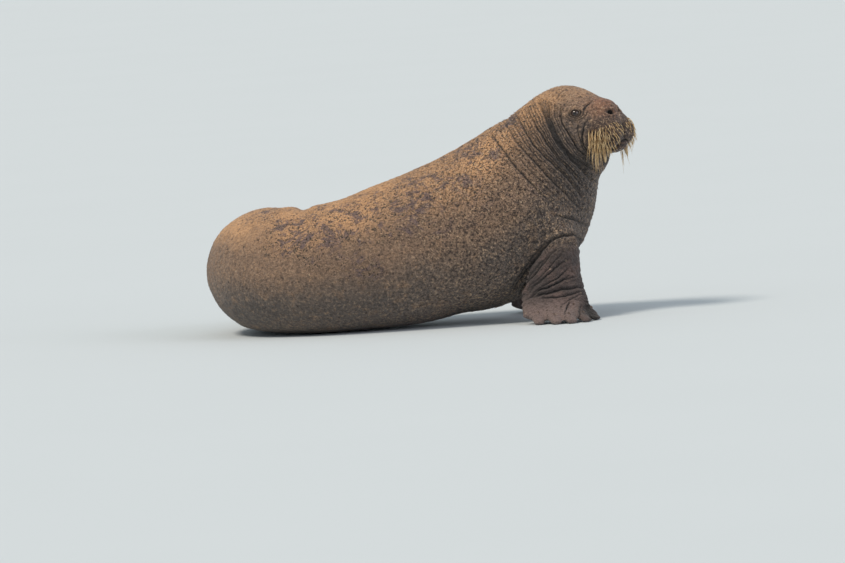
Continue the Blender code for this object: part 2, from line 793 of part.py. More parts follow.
def clear_of_tusk(path, side):
    """Whether a bristle passes the tusk without touching it."""
    high = from_head((TUSK_ROOT[0], side * TUSK_ROOT[1], TUSK_ROOT[2]))
    line = from_head((TUSK_TIP[0], side * TUSK_TIP[1], TUSK_TIP[2])) - high
    shares = np.linspace(0, 1, 12)[:, None]
    spots = np.vstack([a + (b - a) * shares for a, b in zip(path, path[1:])])
    along = np.clip((spots - high) @ line / (line @ line), 0, 1)
    off = spots - high - along[:, None] * line
    return np.sqrt((off * off).sum(1)).min() > TUSK_RADIUS + WHISKER_TO_TUSK


def whiskers():
    """The bristles of both pads, in slanting rows, shortest in front and longest at the sides."""
    draw = random.Random(WHISKER_SEED)
    made = []
    for side in (-1, 1):
        for row in range(WHISKER_ROWS):
            for column in range(WHISKER_COLUMNS):
                across = (column + 0.5 * (row % 2) + draw.uniform(-0.2, 0.2)) / WHISKER_COLUMNS
                down = (row + draw.uniform(-0.2, 0.2)) / (WHISKER_ROWS - 1)
                turn = math.radians(WHISKER_TURNS[0] + across * (WHISKER_TURNS[1] - WHISKER_TURNS[0]))
                tilt = math.radians(WHISKER_TILTS[0] + down * (WHISKER_TILTS[1] - WHISKER_TILTS[0]))
                spot, normal = pad_root(side, turn, tilt)
                if not bears_whisker(spot, side):
                    continue
                length = WHISKER_SHORT + (WHISKER_LONG - WHISKER_SHORT) * min(max(across, 0), 1) ** 1.4
                length *= draw.uniform(0.85, 1.12)
                path = whisker_path(spot, normal, length)
                if not clear_of_tusk(path, side):
                    continue
                radii = [WHISKER_RADIUS * (1 - 0.25 * k) for k in range(len(path) - 1)] + [0]
                made.append(tapered_tube(path, radii, 3, start=HEAD_AXES[0] + 0.3 * HEAD_AXES[1]))
    return made


def tusk(side, grow):
    """A short tusk, curved a little back, from its socket to its round tip; grow makes the socket."""
    root = np.array([TUSK_ROOT[0], side * TUSK_ROOT[1], TUSK_ROOT[2]])
    tip = np.array([TUSK_TIP[0], side * TUSK_TIP[1], TUSK_TIP[2]])
    path = []
    radii = []
    for k in range(8):
        t = k / 7
        bow = np.array([0.006 * math.sin(math.pi * t), 0, 0])
        path.append(from_head(root + (tip - root) * t + bow))
        radii.append(TUSK_RADIUS * math.sqrt(max(1 - t**4, 0.0)) * (1 - 0.25 * t) + grow)
    if not grow:
        radii[-1] = 0
    path[0] = path[0] - unit(path[1] - path[0]) * grow
    return tapered_tube(path, radii, 9, start=HEAD_AXES[0])


def centre_on_floor():
    """Moves the whole so that the origin is at the bottom centre of its box."""
    spots = np.array([v.co for obj in bpy.data.objects for v in obj.data.vertices])
    low, high = spots.min(0), spots.max(0)
    shift = Vector((-(low[0] + high[0]) / 2, -(low[1] + high[1]) / 2, -low[2]))
    for obj in bpy.data.objects:
        for v in obj.data.vertices:
            v.co += shift


def main():
    for obj in list(bpy.data.objects):
        bpy.data.objects.remove(obj)
    build_torso()
    build_head()
    build_front_flipper(-1, "right")
    build_front_flipper(1, "left")
    build_hind_end()
    centre_on_floor()


main()
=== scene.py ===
"""The looks of the walrus: one creased skin over its body, a short coat, whiskers, eyes, tusks and nails."""

import math
from concurrent.futures import ThreadPoolExecutor

import bmesh
import bpy
import numpy as np
from mathutils import Matrix, Vector


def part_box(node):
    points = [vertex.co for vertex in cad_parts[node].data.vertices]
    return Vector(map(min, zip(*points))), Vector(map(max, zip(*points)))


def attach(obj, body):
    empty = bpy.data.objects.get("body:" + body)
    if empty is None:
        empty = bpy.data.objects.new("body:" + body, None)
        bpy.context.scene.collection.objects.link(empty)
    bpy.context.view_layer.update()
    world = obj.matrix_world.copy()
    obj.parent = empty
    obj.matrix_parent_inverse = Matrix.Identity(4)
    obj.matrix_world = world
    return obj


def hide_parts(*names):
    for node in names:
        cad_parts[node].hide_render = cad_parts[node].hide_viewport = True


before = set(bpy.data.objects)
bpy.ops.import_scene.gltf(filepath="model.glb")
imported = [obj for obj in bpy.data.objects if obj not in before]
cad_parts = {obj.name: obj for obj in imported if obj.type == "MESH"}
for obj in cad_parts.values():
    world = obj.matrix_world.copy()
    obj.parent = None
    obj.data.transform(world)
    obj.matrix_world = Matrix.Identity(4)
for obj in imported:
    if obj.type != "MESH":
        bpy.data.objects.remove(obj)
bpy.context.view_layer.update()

# What follows is the animal's form, as in the solids: sizes in metres, its right side toward -Y

# The torso from tail to neck: points on its middle line, then half width and half height there
TORSO = [
    (-0.405, 0.890, 0.085, 0.022, 0.020),
    (-0.425, 0.790, 0.105, 0.070, 0.066),
    (-0.475, 0.650, 0.150, 0.150, 0.135),
    (-0.532, 0.480, 0.200, 0.215, 0.195),
    (-0.568, 0.290, 0.245, 0.265, 0.253),
    (-0.504, 0.120, 0.247, 0.290, 0.273),
    (-0.347, 0.030, 0.252, 0.305, 0.284),
    (-0.177, 0.000, 0.285, 0.320, 0.292),
    (-0.010, 0.000, 0.328, 0.330, 0.312),
    (0.156, 0.000, 0.388, 0.335, 0.318),
    (0.326, 0.000, 0.444, 0.335, 0.341),
    (0.445, 0.000, 0.520, 0.322, 0.334),
    (0.520, 0.000, 0.612, 0.285, 0.298),
    (0.574, 0.000, 0.698, 0.240, 0.248),
    (0.611, -0.002, 0.774, 0.205, 0.211),
    (0.645, -0.006, 0.833, 0.170, 0.177),
    (0.680, -0.012, 0.878, 0.138, 0.145),
]

# How many degrees torso and head are turned nose down, and where the hip is that they turn about
LEAN = 4.0
HIP_X = -0.35

# The head's centre and its angles in degrees; then places and ways in its own frame: ahead, right and up
HEAD_CENTRE = np.array([0.718, -0.020, 0.902])
HEAD_YAW = 40
HEAD_PITCH = 8
HEAD_ROLL = 8
EYE = (0.096, 0.104, 0.030)
EYE_WAY = (0.45, 0.88, 0.12)
EYE_RADIUS = 0.019
EYE_DEPTH = 0.013
NOSTRIL = (0.207, 0.0225, 0.002)
TUSK_ROOT = (0.168, 0.066, -0.112)
TUSK_TIP = (0.180, 0.077, -0.194)
TUSK_RADIUS = 0.0085
PAD_CENTRE = (0.165, 0.040, -0.075)
LIP_HEIGHT = -0.108
LIP_HALF_WIDTH = 0.041

# The right arm from shoulder to hand, as the torso, and for each finger its tip and half width
ARM = [
    (0.645, 0.150, 0.400, 0.090, 0.100),
    (0.690, 0.235, 0.325, 0.070, 0.085),
    (0.673, 0.262, 0.255, 0.088, 0.068),
    (0.650, 0.285, 0.174, 0.116, 0.052),
    (0.640, 0.305, 0.105, 0.138, 0.042),
    (0.645, 0.330, 0.052, 0.144, 0.034),
]
FINGERS = [
    (0.806, 0.360, 0.034),
    (0.768, 0.428, 0.032),
    (0.706, 0.452, 0.032),
    (0.640, 0.444, 0.031),
    (0.570, 0.405, 0.031),
]
LEFT_ARM_SHIFT = -0.040

# Hind flippers: ankle, toe lengths, degrees between toes and of each flipper, and half the ankles' distance
ANKLE = (-0.425, 0.770, 0.082)
TOES = [0.350, 0.315, 0.295, 0.310, 0.345]
TOE_SPREAD = 8.5
HIND_LEAN = {-1: 14, 1: 22}
HIND_APART = 0.105

# The skin: how deep it lies in the solids, its gap to the floor, and its faces' size before any are halved
INSET = 0.0018
FLOOR_GAP = 0.0002
VOXEL = 0.010

# What a limb's distance says where the limb isn't near
FAR = 1.0


def unit(v):
    v = np.asarray(v, float)
    return v / np.sqrt((v * v).sum(-1, keepdims=True))


def smooth_min(a, b, k):
    h = np.clip(0.5 + 0.5 * (b - a) / k, 0.0, 1.0)
    return b * (1 - h) + a * h - k * h * (1 - h)


def smooth_max(a, b, k):
    return -smooth_min(-a, -b, k)


def ramp(low, high, x):
    """0 below low, 1 above high, smooth between."""
    t = np.clip((x - low) / (high - low), 0, 1)
    return t * t * (3 - 2 * t)


def bump(x, width):
    """1 at zero, falling to 0 over a width to both sides."""
    return np.exp(-(x / width) ** 2)


def spline(rows, count):
    """A Catmull-Rom curve through the rows, read at count points."""
    rows = np.asarray(rows, float)
    n = len(rows)
    padded = np.vstack([2 * rows[0] - rows[1], rows, 2 * rows[-1] - rows[-2]])
    t = np.linspace(0, n - 1, count)
    i = np.minimum(t.astype(int), n - 2)
    s = (t - i)[:, None]
    p0, p1, p2, p3 = (padded[i + j] for j in range(4))
    square = (2 * p0 - 5 * p1 + 4 * p2 - p3) * s**2
    cube = (3 * p1 - p0 - 3 * p2 + p3) * s**3
    return 0.5 * (2 * p1 + (p2 - p0) * s + square + cube)


class Limb:
    """The hull of a row of ellipsoids along a curve, whose width lies along side, or level without one."""

    def __init__(self, rows, count, side=None):
        read = spline(rows, count)
        self.centres = read[:, :3]
        along = unit(np.gradient(self.centres, axis=0))
        across = np.cross(along, (0, 0, 1)) if side is None else np.tile(side, (count, 1))
        across = unit(across - (across * along).sum(1, keepdims=True) * along)
        self.along = along
        self.wide = np.maximum(read[:, 3], 0.004)
        self.high = np.maximum(read[:, 4], 0.004)
        frames = zip(across, along, self.wide, self.high)
        self.scales = [np.array([a / w, np.cross(a, t) / h, t / min(w, h)]).T for a, t, w, h in frames]
        reach = np.maximum(self.wide, self.high)[:, None]
        self.groups = []
        for group in np.array_split(np.arange(count), max(1, count // 8)):
            low = (self.centres - reach)[group].min(0)
            high = (self.centres + reach)[group].max(0)
            self.groups.append((group, low, high))

    def __call__(self, points, margin=0.12):
        best = np.full(len(points), FAR)
        for group, low, high in self.groups:
            beyond = np.maximum(np.maximum(low - points, points - high), 0)
            box = np.sqrt((beyond * beyond).sum(1)) + 0.02
            near = np.nonzero(box < margin)[0]
            best = np.minimum(best, np.where(box < margin, FAR, box))
            if not len(near):
                continue
            here = best[near]
            for i in group:
                q = points[near] - self.centres[i]
                r = q @ self.scales[i]
                reach = np.sqrt((r * r).sum(1)) + 1e-9
                here = np.minimum(here, np.sqrt((q * q).sum(1)) * (1 - 1 / reach))
            best[near] = here
        return best


def blob(q, centre, radii, power=2.0):
    """The distance from a ball with three radii, squarer with a higher power."""
    q = q - np.asarray(centre, float)
    reach = (np.abs(q / np.asarray(radii, float)) ** power).sum(1) ** (1 / power) + 1e-9
    return np.sqrt((q * q).sum(1)) * (1 - 1 / reach)


def leaned(vectors):
    """Directions turned nose down by the lean."""
    turn = math.radians(LEAN)
    x, y, z = np.asarray(vectors, float).T
    return np.column_stack([x * math.cos(turn) + z * math.sin(turn), y,
                            z * math.cos(turn) - x * math.sin(turn)])


HIP = np.array([HIP_X, 0, 0])


def placed(points):
    """Points of the torso and head, turned nose down about the hip."""
    return leaned(np.asarray(points, float) - HIP) + HIP


def head_axes():
    """The ways ahead, right and up of the head, as rows."""
    yaw, pitch, roll = (math.radians(a) for a in (HEAD_YAW, HEAD_PITCH, HEAD_ROLL))
    forward = np.array([math.cos(yaw) * math.cos(pitch), -math.sin(yaw) * math.cos(pitch), math.sin(pitch)])
    level = np.array([-math.sin(yaw), -math.cos(yaw), 0.0])
    upright = np.cross(level, forward)
    right = level * math.cos(roll) - upright * math.sin(roll)
    up = upright * math.cos(roll) + level * math.sin(roll)
    return leaned([forward, right, up])


HEAD_AXES = head_axes()
HEAD_AT = placed([HEAD_CENTRE])[0]

# The swellings of the head in its own frame: centre, radii, power, how softly it joins, whether on both sides
HEAD_FORMS = {
    "skull": ((-0.030, 0, 0.008), (0.150, 0.120, 0.118), 2.0, 0.0, False),
    "face": ((0.070, 0, -0.010), (0.125, 0.104, 0.098), 2.0, 0.04, False),
    "cheek": ((0.045, 0.060, -0.060), (0.110, 0.056, 0.085), 2.0, 0.05, True),
    "brow": ((0.086, 0.084, 0.022), (0.042, 0.028, 0.036), 2.0, 0.03, True),
    "snout": ((0.140, 0, -0.062), (0.112, 0.090, 0.092), 2.4, 0.03, False),
    "nose": ((0.160, 0, 0.018), (0.062, 0.054, 0.050), 2.0, 0.03, False),
    "pad": ((0.182, 0.046, -0.082), (0.074, 0.052, 0.064), 2.0, 0.025, True),
    "chin": ((0.178, 0, -0.132), (0.068, 0.044, 0.034), 2.0, 0.015, False),
    "throat": ((0.066, 0, -0.156), (0.073, 0.055, 0.071), 2.0, 0.03, False),
}


def to_head(points):
    """Places in the head's own frame: ahead, right and up."""
    return (points - HEAD_AT) @ HEAD_AXES.T


def from_head(q):
    return np.asarray(q, float) @ HEAD_AXES + HEAD_AT


def head_form(points, name):
    """The distance from one swelling of the head."""
    centre, radii, power, _, both = HEAD_FORMS[name]
    q = to_head(points)
    if both:
        q[:, 1] = np.abs(q[:, 1])
    return blob(q, centre, radii, power)


def head_distance(points):
    d = head_form(points, "skull")
    for name, (_, _, _, softness, _) in list(HEAD_FORMS.items())[1:]:
        d = smooth_min(d, head_form(points, name), softness)
    return d


def arm_rows(side):
    shift = 0 if side < 0 else LEFT_ARM_SHIFT
    return [(x + shift, side * y, z, w, h) for x, y, z, w, h in ARM]


def finger_rows(side):
    shift = 0 if side < 0 else LEFT_ARM_SHIFT
    for i, (x, y, wide) in enumerate(FINGERS):
        root = np.array([0.655 - 0.045 * (i - 2), 0.290, 0.052])
        tip = np.array([x, y, 0.013])
        middle = root * 0.45 + tip * 0.55 + (0, 0, 0.003)
        sections = ((root, wide, 0.032), (middle, wide * 1.1, 0.023), (tip, wide * 0.72, 0.014))
        yield [(p[0] + shift, side * p[1], p[2], w, h) for p, w, h in sections]


def shank_rows(side):
    x, y, z = ANKLE
    apart = HIND_APART * side
    return [(x + 0.5 * apart, y - 0.13, z + 0.050, 0.075, 0.075),
            (x + apart, y + 0.01, z, 0.056, 0.045),
            (x + 1.1 * apart, y + 0.08, z - 0.030, 0.058, 0.032)]


def toe_rows(side):
    ankle = np.array(ANKLE) + (HIND_APART * side, 0, 0)
    for i, length in enumerate(TOES):
        turn = math.radians(side * (HIND_LEAN[side] + (i - 2) * TOE_SPREAD))
        root = ankle + (0.016 * (i - 2) * side, 0.02, 0)
        tip = ankle + np.array([math.sin(turn), math.cos(turn), 0]) * length
        tip[2] = 0.012
        middle = (root + tip) / 2
        middle[2] = 0.040
        wide = 0.027 if i in (0, 4) else 0.023
        yield [(*root, wide, 0.034), (*middle, wide * 1.1, 0.022), (*tip, wide * 0.75, 0.012)]


def torso_rows():
    rows = np.array(TORSO)
    return np.hstack([placed(rows[:, :3]), rows[:, 3:]])


torso = Limb(torso_rows(), 90)
arms = {s: Limb(arm_rows(s), 22, side=(1, 0, 0)) for s in (-1, 1)}
fingers = {s: [Limb(rows, 14) for rows in finger_rows(s)] for s in (-1, 1)}
shanks = {s: Limb(shank_rows(s), 12) for s in (-1, 1)}
toes = {s: [Limb(rows, 16) for rows in toe_rows(s)] for s in (-1, 1)}


def union(pieces, points, k):
    d = pieces[0](points)
    for piece in pieces[1:]:
        d = smooth_min(d, piece(points), k)
    return d


def flipper_distance(points):
    """The distance from the front flippers, and from the hind ones."""
    front = [smooth_min(arms[s](points), union(fingers[s], points, 0.022), 0.03) for s in (-1, 1)]
    hind = [smooth_min(shanks[s](points), union(toes[s], points, 0.016), 0.02) for s in (-1, 1)]
    return front, hind


def distance_here(points):
    floor = -points[:, 2]
    d = smooth_min(torso(points), head_distance(points), 0.085)
    d = smooth_max(d, floor, 0.05)
    front, hind = flipper_distance(points)
    for arm, foot in zip(front, hind):
        d = smooth_min(d, smooth_max(arm, floor, 0.008), 0.05)
        d = smooth_min(d, smooth_max(foot, floor, 0.008), 0.03)
    return np.maximum(d, floor)


def body_distance(points):
    """The distance from the body's surface, worked out on several threads."""
    if len(points) < 4000:
        return distance_here(points)
    with ThreadPoolExecutor(4) as pool:
        return np.concatenate(list(pool.map(distance_here, np.array_split(points, 12))))


def gradient(points, reach=0.0015):
    """The distance from the body's surface, and the way straight out of it."""
    here = body_distance(points)
    slopes = [body_distance(points + step) - here for step in np.eye(3) * reach]
    return here, unit(np.column_stack(slopes) + 1e-12)


def settled(points, steps=1):
    """Points moved to the depth of the skin below the body's surface, and onto the floor itself."""
    for _ in range(steps):
        d, n = gradient(points)
        depth = INSET * ramp(0.0, 0.02, points[:, 2])
        points = points - n * np.clip(d + depth, -0.01, 0.01)[:, None]
        points[:, 2] = np.maximum(points[:, 2], FLOOR_GAP)
    return points


def on_surface(spot):
    """A spot moved onto the body's surface."""
    for _ in range(6):
        d, n = gradient(spot[None])
        spot = spot - n[0] * d[0]
    return spot


def eye_way(side):
    f, r, u = EYE_WAY
    return unit(np.array([f, side * r, u]) @ HEAD_AXES)


def eye_centre(side):
    """The eyeball's centre, sunk to its depth below the surface of the head."""
    f, r, u = EYE
    spot = from_head((f, side * r, u))
    for _ in range(6):
        spot = spot - eye_way(side) * (body_distance(spot[None])[0] + EYE_DEPTH)
    return spot


def eye_axes(side):
    """Along the lids, up, and out, as rows."""
    out = eye_way(side)
    along = unit(np.cross(out, HEAD_AXES[2]))
    high = np.cross(along, out)
    return np.array([along, high * np.sign(high @ HEAD_AXES[2]), out])


def nostril_centre(side):
    f, r, u = NOSTRIL
    return on_surface(from_head((f, side * r, u)))


def nostril_axes(side):
    """The nostril's depth, its width and its slanting length, as rows."""
    depth = gradient(nostril_centre(side)[None])[1][0]
    length = unit(np.array([-0.55, side * 0.75, 0.35]) @ HEAD_AXES)
    length = unit(length - depth * (length @ depth))
    return np.array([depth, np.cross(depth, length), length])


# From the form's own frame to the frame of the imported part
eye_low, eye_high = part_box("eye_right")
SHIFT = (np.array(eye_low) + np.array(eye_high)) / 2 - eye_centre(1)

# The photograph's frame in its own steps, a step in metres, the side view's zero, and how far it looks down
PHOTO_WIDTH = 845
PHOTO_HEIGHT = 563
STEP = 0.0042
VIEW_X = 403
VIEW_Z = 333
VIEW_TILT = math.radians(4.0)
VIEW_RIGHT, VIEW_BACK, VIEW_UP = leaned([(1, 0, 0), (0, -math.cos(VIEW_TILT), math.sin(VIEW_TILT)),
                                         (0, math.sin(VIEW_TILT), math.cos(VIEW_TILT))])


def side_view(points):
    """Places in the view of the right side, in its steps: across and down."""
    rel = points - HIP
    return np.column_stack([VIEW_X + (rel @ VIEW_RIGHT + HIP_X) / STEP, VIEW_Z - rel @ VIEW_UP / STEP])


def mirrored_view(points, near_head):
    """Side-view places for the whole body: the left side has those of its mirror image."""
    on_head = np.clip(0.5 - near_head / 0.2, 0, 1)[:, None]
    q = to_head(points)
    turned = from_head(q * (1, -1, 1))
    flipped = points * (1, -1, 1) - (LEFT_ARM_SHIFT, 0, 0) * ramp(0.36, 0.5, points[:, :1])
    other = turned * on_head + flipped * (1 - on_head)
    right = q[:, 1] * on_head[:, 0] - points[:, 1] * (1 - on_head[:, 0])
    return side_view(np.where(right[:, None] > 0, points, other))


def noise(points, size, seed=0):
    """Smooth noise from -1 to 1 with bumps of a size in metres."""
    q = points / size + 31.7 * seed
    cell = np.floor(q).astype(np.int64)
    f = q - cell
    f = f * f * (3 - 2 * f)
    total = np.zeros(len(points))
    for i in range(8):
        corner = np.array([i & 1, (i >> 1) & 1, i >> 2])
        c = cell + corner
        h = (c[:, 0] * 73856093) ^ (c[:, 1] * 19349663) ^ (c[:, 2] * 83492791)
        h = ((h ^ (h >> 13)) * 1274126177) & 0x7FFFFFFF
        share = np.where(corner, f, 1 - f).prod(1)
        total += share * (h / 0x3FFFFFFF - 1)
    return total


def mesh_of(name, points, faces):
    mesh = bpy.data.meshes.new(name)
    mesh.from_pydata(np.asarray(points).tolist(), [], [[int(i) for i in face] for face in faces])
    return mesh


def shown(name, data):
    obj = bpy.data.objects.new(name, data)
    bpy.context.scene.collection.objects.link(obj)
    return obj


def read_all(items, name, width, kind=np.float32):
    """One value, or a row of width values, of every item of a mesh."""
    values = np.empty(len(items) * width, kind)
    items.foreach_get(name, values)
    return values.reshape(-1, width) if width > 1 else values


def spots_of(mesh):
    return read_all(mesh.vertices, "co", 3).astype(float)


def set_spots(mesh, points):
    mesh.vertices.foreach_set("co", np.asarray(points, np.float32).ravel())
    mesh.update()


def set_layer(mesh, name, values):
    """A named value, or a named row of four, at every point of a mesh."""
    kind, key = ("FLOAT", "value") if values.ndim == 1 else ("FLOAT_COLOR", "color")
    layer = mesh.attributes.new(name, kind, "POINT")
    layer.data.foreach_set(key, values.astype(np.float32).ravel())


def modified(mesh, kind, **settings):
    """The mesh with one modifier applied."""
    obj = shown("work", mesh)
    step = obj.modifiers.new("step", kind)
    for key, value in settings.items():
        setattr(step, key, value)
    bpy.context.view_layer.update()
    graph = bpy.context.evaluated_depsgraph_get()
    out = bpy.data.meshes.new_from_object(obj.evaluated_get(graph), depsgraph=graph)
    bpy.data.objects.remove(obj)
    return out


def ball(make, **settings):
    """The points and faces of a ball of radius 1."""
    bm = bmesh.new()
    make(bm, radius=1.0, **settings)
    points = np.array([v.co for v in bm.verts])
    faces = [[v.index for v in f.verts] for f in bm.faces]
    bm.free()
    return points, faces


def seed_mesh():
    """The solids without tusks and bristles as one bag of faces, with balls for the muzzle."""
    pieces = []
    for name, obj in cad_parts.items():
        if name != "muzzle" and not name.startswith("tusk"):
            pieces.append((spots_of(obj.data), [list(p.vertices) for p in obj.data.polygons]))
    round_points, round_faces = ball(bmesh.ops.create_icosphere, subdivisions=3)
    for name in ("face", "snout", "nose", "pad", "brow", "chin"):
        centre, radii, _, _, both = HEAD_FORMS[name]
        for side in (-1, 1) if both else (1,):
            placed_ball = round_points * radii + np.array(centre) * (1, side, 1)
            pieces.append((from_head(placed_ball) + SHIFT, round_faces))
    points = []
    faces = []
    for spots, corners in pieces:
        faces += [[i + len(points) for i in face] for face in corners]
        points += spots.tolist()
    return mesh_of("seed", points, faces)


def finer(mesh, wanted):
    """The mesh with the faces halved where a test of its points says so, the new points settled."""
    bm = bmesh.new()
    bm.from_mesh(mesh)
    chosen = wanted(spots_of(mesh) - SHIFT)
    edges = [e for e in bm.edges if chosen[e.verts[0].index] and chosen[e.verts[1].index]]
    bmesh.ops.subdivide_edges(bm, edges=edges, cuts=1, use_grid_fill=True)
    bm.to_mesh(mesh)
    bm.free()
    spots = spots_of(mesh) - SHIFT
    chosen = wanted(spots)
    spots[chosen] = settled(spots[chosen])
    set_spots(mesh, spots + SHIFT)
    return mesh


def within(points, centre, reach):
    off = points - centre
    return (off * off).sum(1) < reach**2


def on_head_or_hand(points):
    """The head, the neck and the front flippers, which have the finest folds."""
    near = within(points, from_head((0.02, 0, -0.02)), 0.31)
    hand = (points[:, 0] > 0.42) & (np.abs(points[:, 1]) > 0.16) & (points[:, 2] < 0.33)
    return near | hand


def on_eye_nose_or_mouth(points):
    spots = [(eye_centre(s), 0.036) for s in (-1, 1)] + [(nostril_centre(s), 0.026) for s in (-1, 1)]
    spots.append((from_head((0.225, 0, -0.118)), 0.062))
    return np.any([within(points, centre, reach) for centre, reach in spots], axis=0)


def on_lids(points):
    return np.any([within(points, eye_centre(side), 0.033) for side in (-1, 1)], axis=0)


def smooth_skin():
    """One closed mesh over the whole body, a coat's depth inside the solids."""
    mesh = modified(seed_mesh(), "REMESH", mode="VOXEL", voxel_size=VOXEL)
    set_spots(mesh, settled(spots_of(mesh) - SHIFT, 4) + SHIFT)
    mesh = modified(mesh, "SUBSURF", levels=1, render_levels=1)
    set_spots(mesh, settled(spots_of(mesh) - SHIFT) + SHIFT)
    for wanted in (on_head_or_hand, on_eye_nose_or_mouth, on_lids):
        mesh = finer(mesh, wanted)
    return mesh


# Folds: places across and down the side view in its steps, then width and depth in metres
NECK_FOLDS = [
    ([560, 560, 563, 569.5, 576.5, 585, 592], [108, 121, 128, 138, 151, 157, 163], 0.0050, 0.0085),
    ([548, 548, 550, 556, 561, 570, 582, 595], [102, 112, 123, 135, 146, 156, 164, 172], 0.0068, 0.0125),
    ([538, 542, 546, 552, 559, 568, 579, 594], [102, 112, 124, 138, 150, 159, 169, 184], 0.0068, 0.0125),
    ([527, 532, 540, 548, 557, 567, 577, 592], [108, 121, 135, 148, 160, 170, 181, 197], 0.0060, 0.0090),
    ([515, 523, 531, 540, 549, 559, 568, 588], [114, 130, 143, 155, 163, 172, 181, 206], 0.0060, 0.0080),
    ([503, 513, 522, 533, 545, 557, 568, 586], [122, 138, 150, 163, 175, 187, 198, 214], 0.0056, 0.0065),
    ([490, 500, 511, 524, 538, 552], [132, 148, 163, 178, 193, 205], 0.0052, 0.0040),
]
FACE_FOLDS = [
    ([591, 586, 582.5, 581], [103, 107, 112, 117], 0.0040, 0.0035),
    ([586, 583, 581.5, 581, 582, 586, 591], [121, 126, 133, 139, 145, 151, 157], 0.0042, 0.0050),
    ([577, 577, 578.6, 581, 587], [125, 133, 140, 148, 156], 0.0035, 0.0030),
    ([566, 568, 573, 578], [124, 131, 139, 147], 0.0035, 0.0025),
    ([556, 558, 564], [100, 94, 90], 0.0040, 0.0020),
]
BODY_FOLDS = [
    ([553, 560, 568, 578, 588], [216, 217, 219, 222, 227], 0.0055, 0.0060),
    ([513, 516.5, 531, 541, 549, 559, 571, 579, 581, 578],
     [291, 283, 264, 249, 241, 236, 235, 238, 243, 248], 0.0062, 0.0095),
    ([509, 513, 526, 537, 546], [292, 282, 265, 250, 241], 0.0050, 0.0030),
    ([517.5, 523, 534, 545, 555], [296, 285, 274, 260, 250], 0.0050, 0.0055),
    ([524, 529, 540, 551, 562], [294, 286, 277, 265, 252], 0.0040, 0.0030),
    ([528, 536, 547, 557, 567], [292, 283, 275, 266, 259], 0.0048, 0.0045),
    ([531, 547, 559, 568], [293, 287, 282, 275], 0.0045, 0.0040),
    ([531, 547, 561, 583], [297, 293, 289, 287], 0.0058, 0.0075),
    ([541, 552, 567, 583], [298, 297, 295, 291], 0.0040, 0.0035),
    ([560, 566, 578, 586], [306, 301, 295, 293], 0.0035, 0.0025),
    ([534, 545, 557, 567], [291, 284, 278, 268], 0.0035, 0.0040),
    ([526, 538, 552, 566, 574], [299, 291, 285, 279, 277], 0.0040, 0.0050),
    ([521, 528, 539, 549], [290, 277, 264, 253], 0.0036, 0.0035),
    ([568, 565, 562], [301, 307, 314], 0.0035, 0.0050),
    ([579, 577, 575.5], [305, 312, 321], 0.0035, 0.0050),
    ([300, 303, 304, 302], [232, 220, 208, 196], 0.0300, 0.0170),
]
FINE_FOLD = 0.01

# Between neighbours on the neck: how far from one to the next, and how deep against it
NECK_BETWEEN = ((0.3, 0.34), (0.52, 0.42), (0.76, 0.30))

# Patches in the side view: strength, width in steps, and the line that each lies along
BARE_SKIN = [
    (1.0, 12, [(560, 130), (566, 148), (578, 168), (590, 188)]),
    (0.55, 15, [(552, 152), (564, 172), (584, 198)]),
    (0.8, 9, [(515, 292), (530, 268), (546, 247)]),
]
SCABS = [
    (1.0, 26, [(285, 238), (322, 228), (362, 222), (404, 206), (430, 185), (470, 150), (505, 120)]),
    (0.62, 24, [(310, 258), (345, 262), (372, 268)]),
    (0.8, 30, [(375, 225), (420, 215), (450, 185)]),
    (0.7, 9, [(250, 222), (262, 215), (275, 212)]),
    (0.45, 36, [(440, 230), (490, 190), (520, 190), (545, 215)]),
]
WRINKLES = [
    (1.0, 26, [(548, 120), (562, 150), (580, 195)]),
    (0.8, 16, [(530, 285), (570, 270)]),
]

# Wrinkles: the way across them in the side view, and their spacing and depth in metres
WRINKLE_WAY = (0.81, -0.59)
WRINKLE_SPACING = 0.013
WRINKLE_DEPTH = 0.0015

# How far folds may press in and raise the skin
DEEPEST = -0.018
HIGHEST = 0.0045


def resampled(across, down, count=12):
    """A fold's line at even steps along it."""
    line = np.column_stack([across, down]).astype(float)
    gone = np.concatenate([[0], np.cumsum(np.sqrt((np.diff(line, axis=0) ** 2).sum(1)))])
    at = np.linspace(0, gone[-1], count)
    return np.column_stack([np.interp(at, gone, line[:, k]) for k in range(2)])


def line_distance(places, line):
    """How far side-view places lie from a line, in metres, and where along it, from 0 to 1."""
    best = np.full(len(places), 1e6)
    along = np.zeros(len(places))
    for i, (a, b) in enumerate(zip(line, line[1:])):
        step = b - a
        t = np.clip((places - a) @ step / (step @ step), 0, 1)
        off = places - a - t[:, None] * step
        d = np.sqrt((off * off).sum(1))
        along = np.where(d < best, (i + t) / (len(line) - 1), along)
        best = np.minimum(d, best)
    return best * STEP, along


def all_folds():
    """The named folds, with shallower ones between neighbours on the neck."""
    folds = [(resampled(*line), width, depth) for *line, width, depth in FACE_FOLDS + BODY_FOLDS]
    neck = [(resampled(*line), width, depth) for *line, width, depth in NECK_FOLDS]
    for (a, width, depth), (b, _, _) in zip(neck, neck[1:]):
        for share, less in NECK_BETWEEN:
            folds.append((a * (1 - share) + b * share, width * 0.62, depth * less))
    return folds + neck


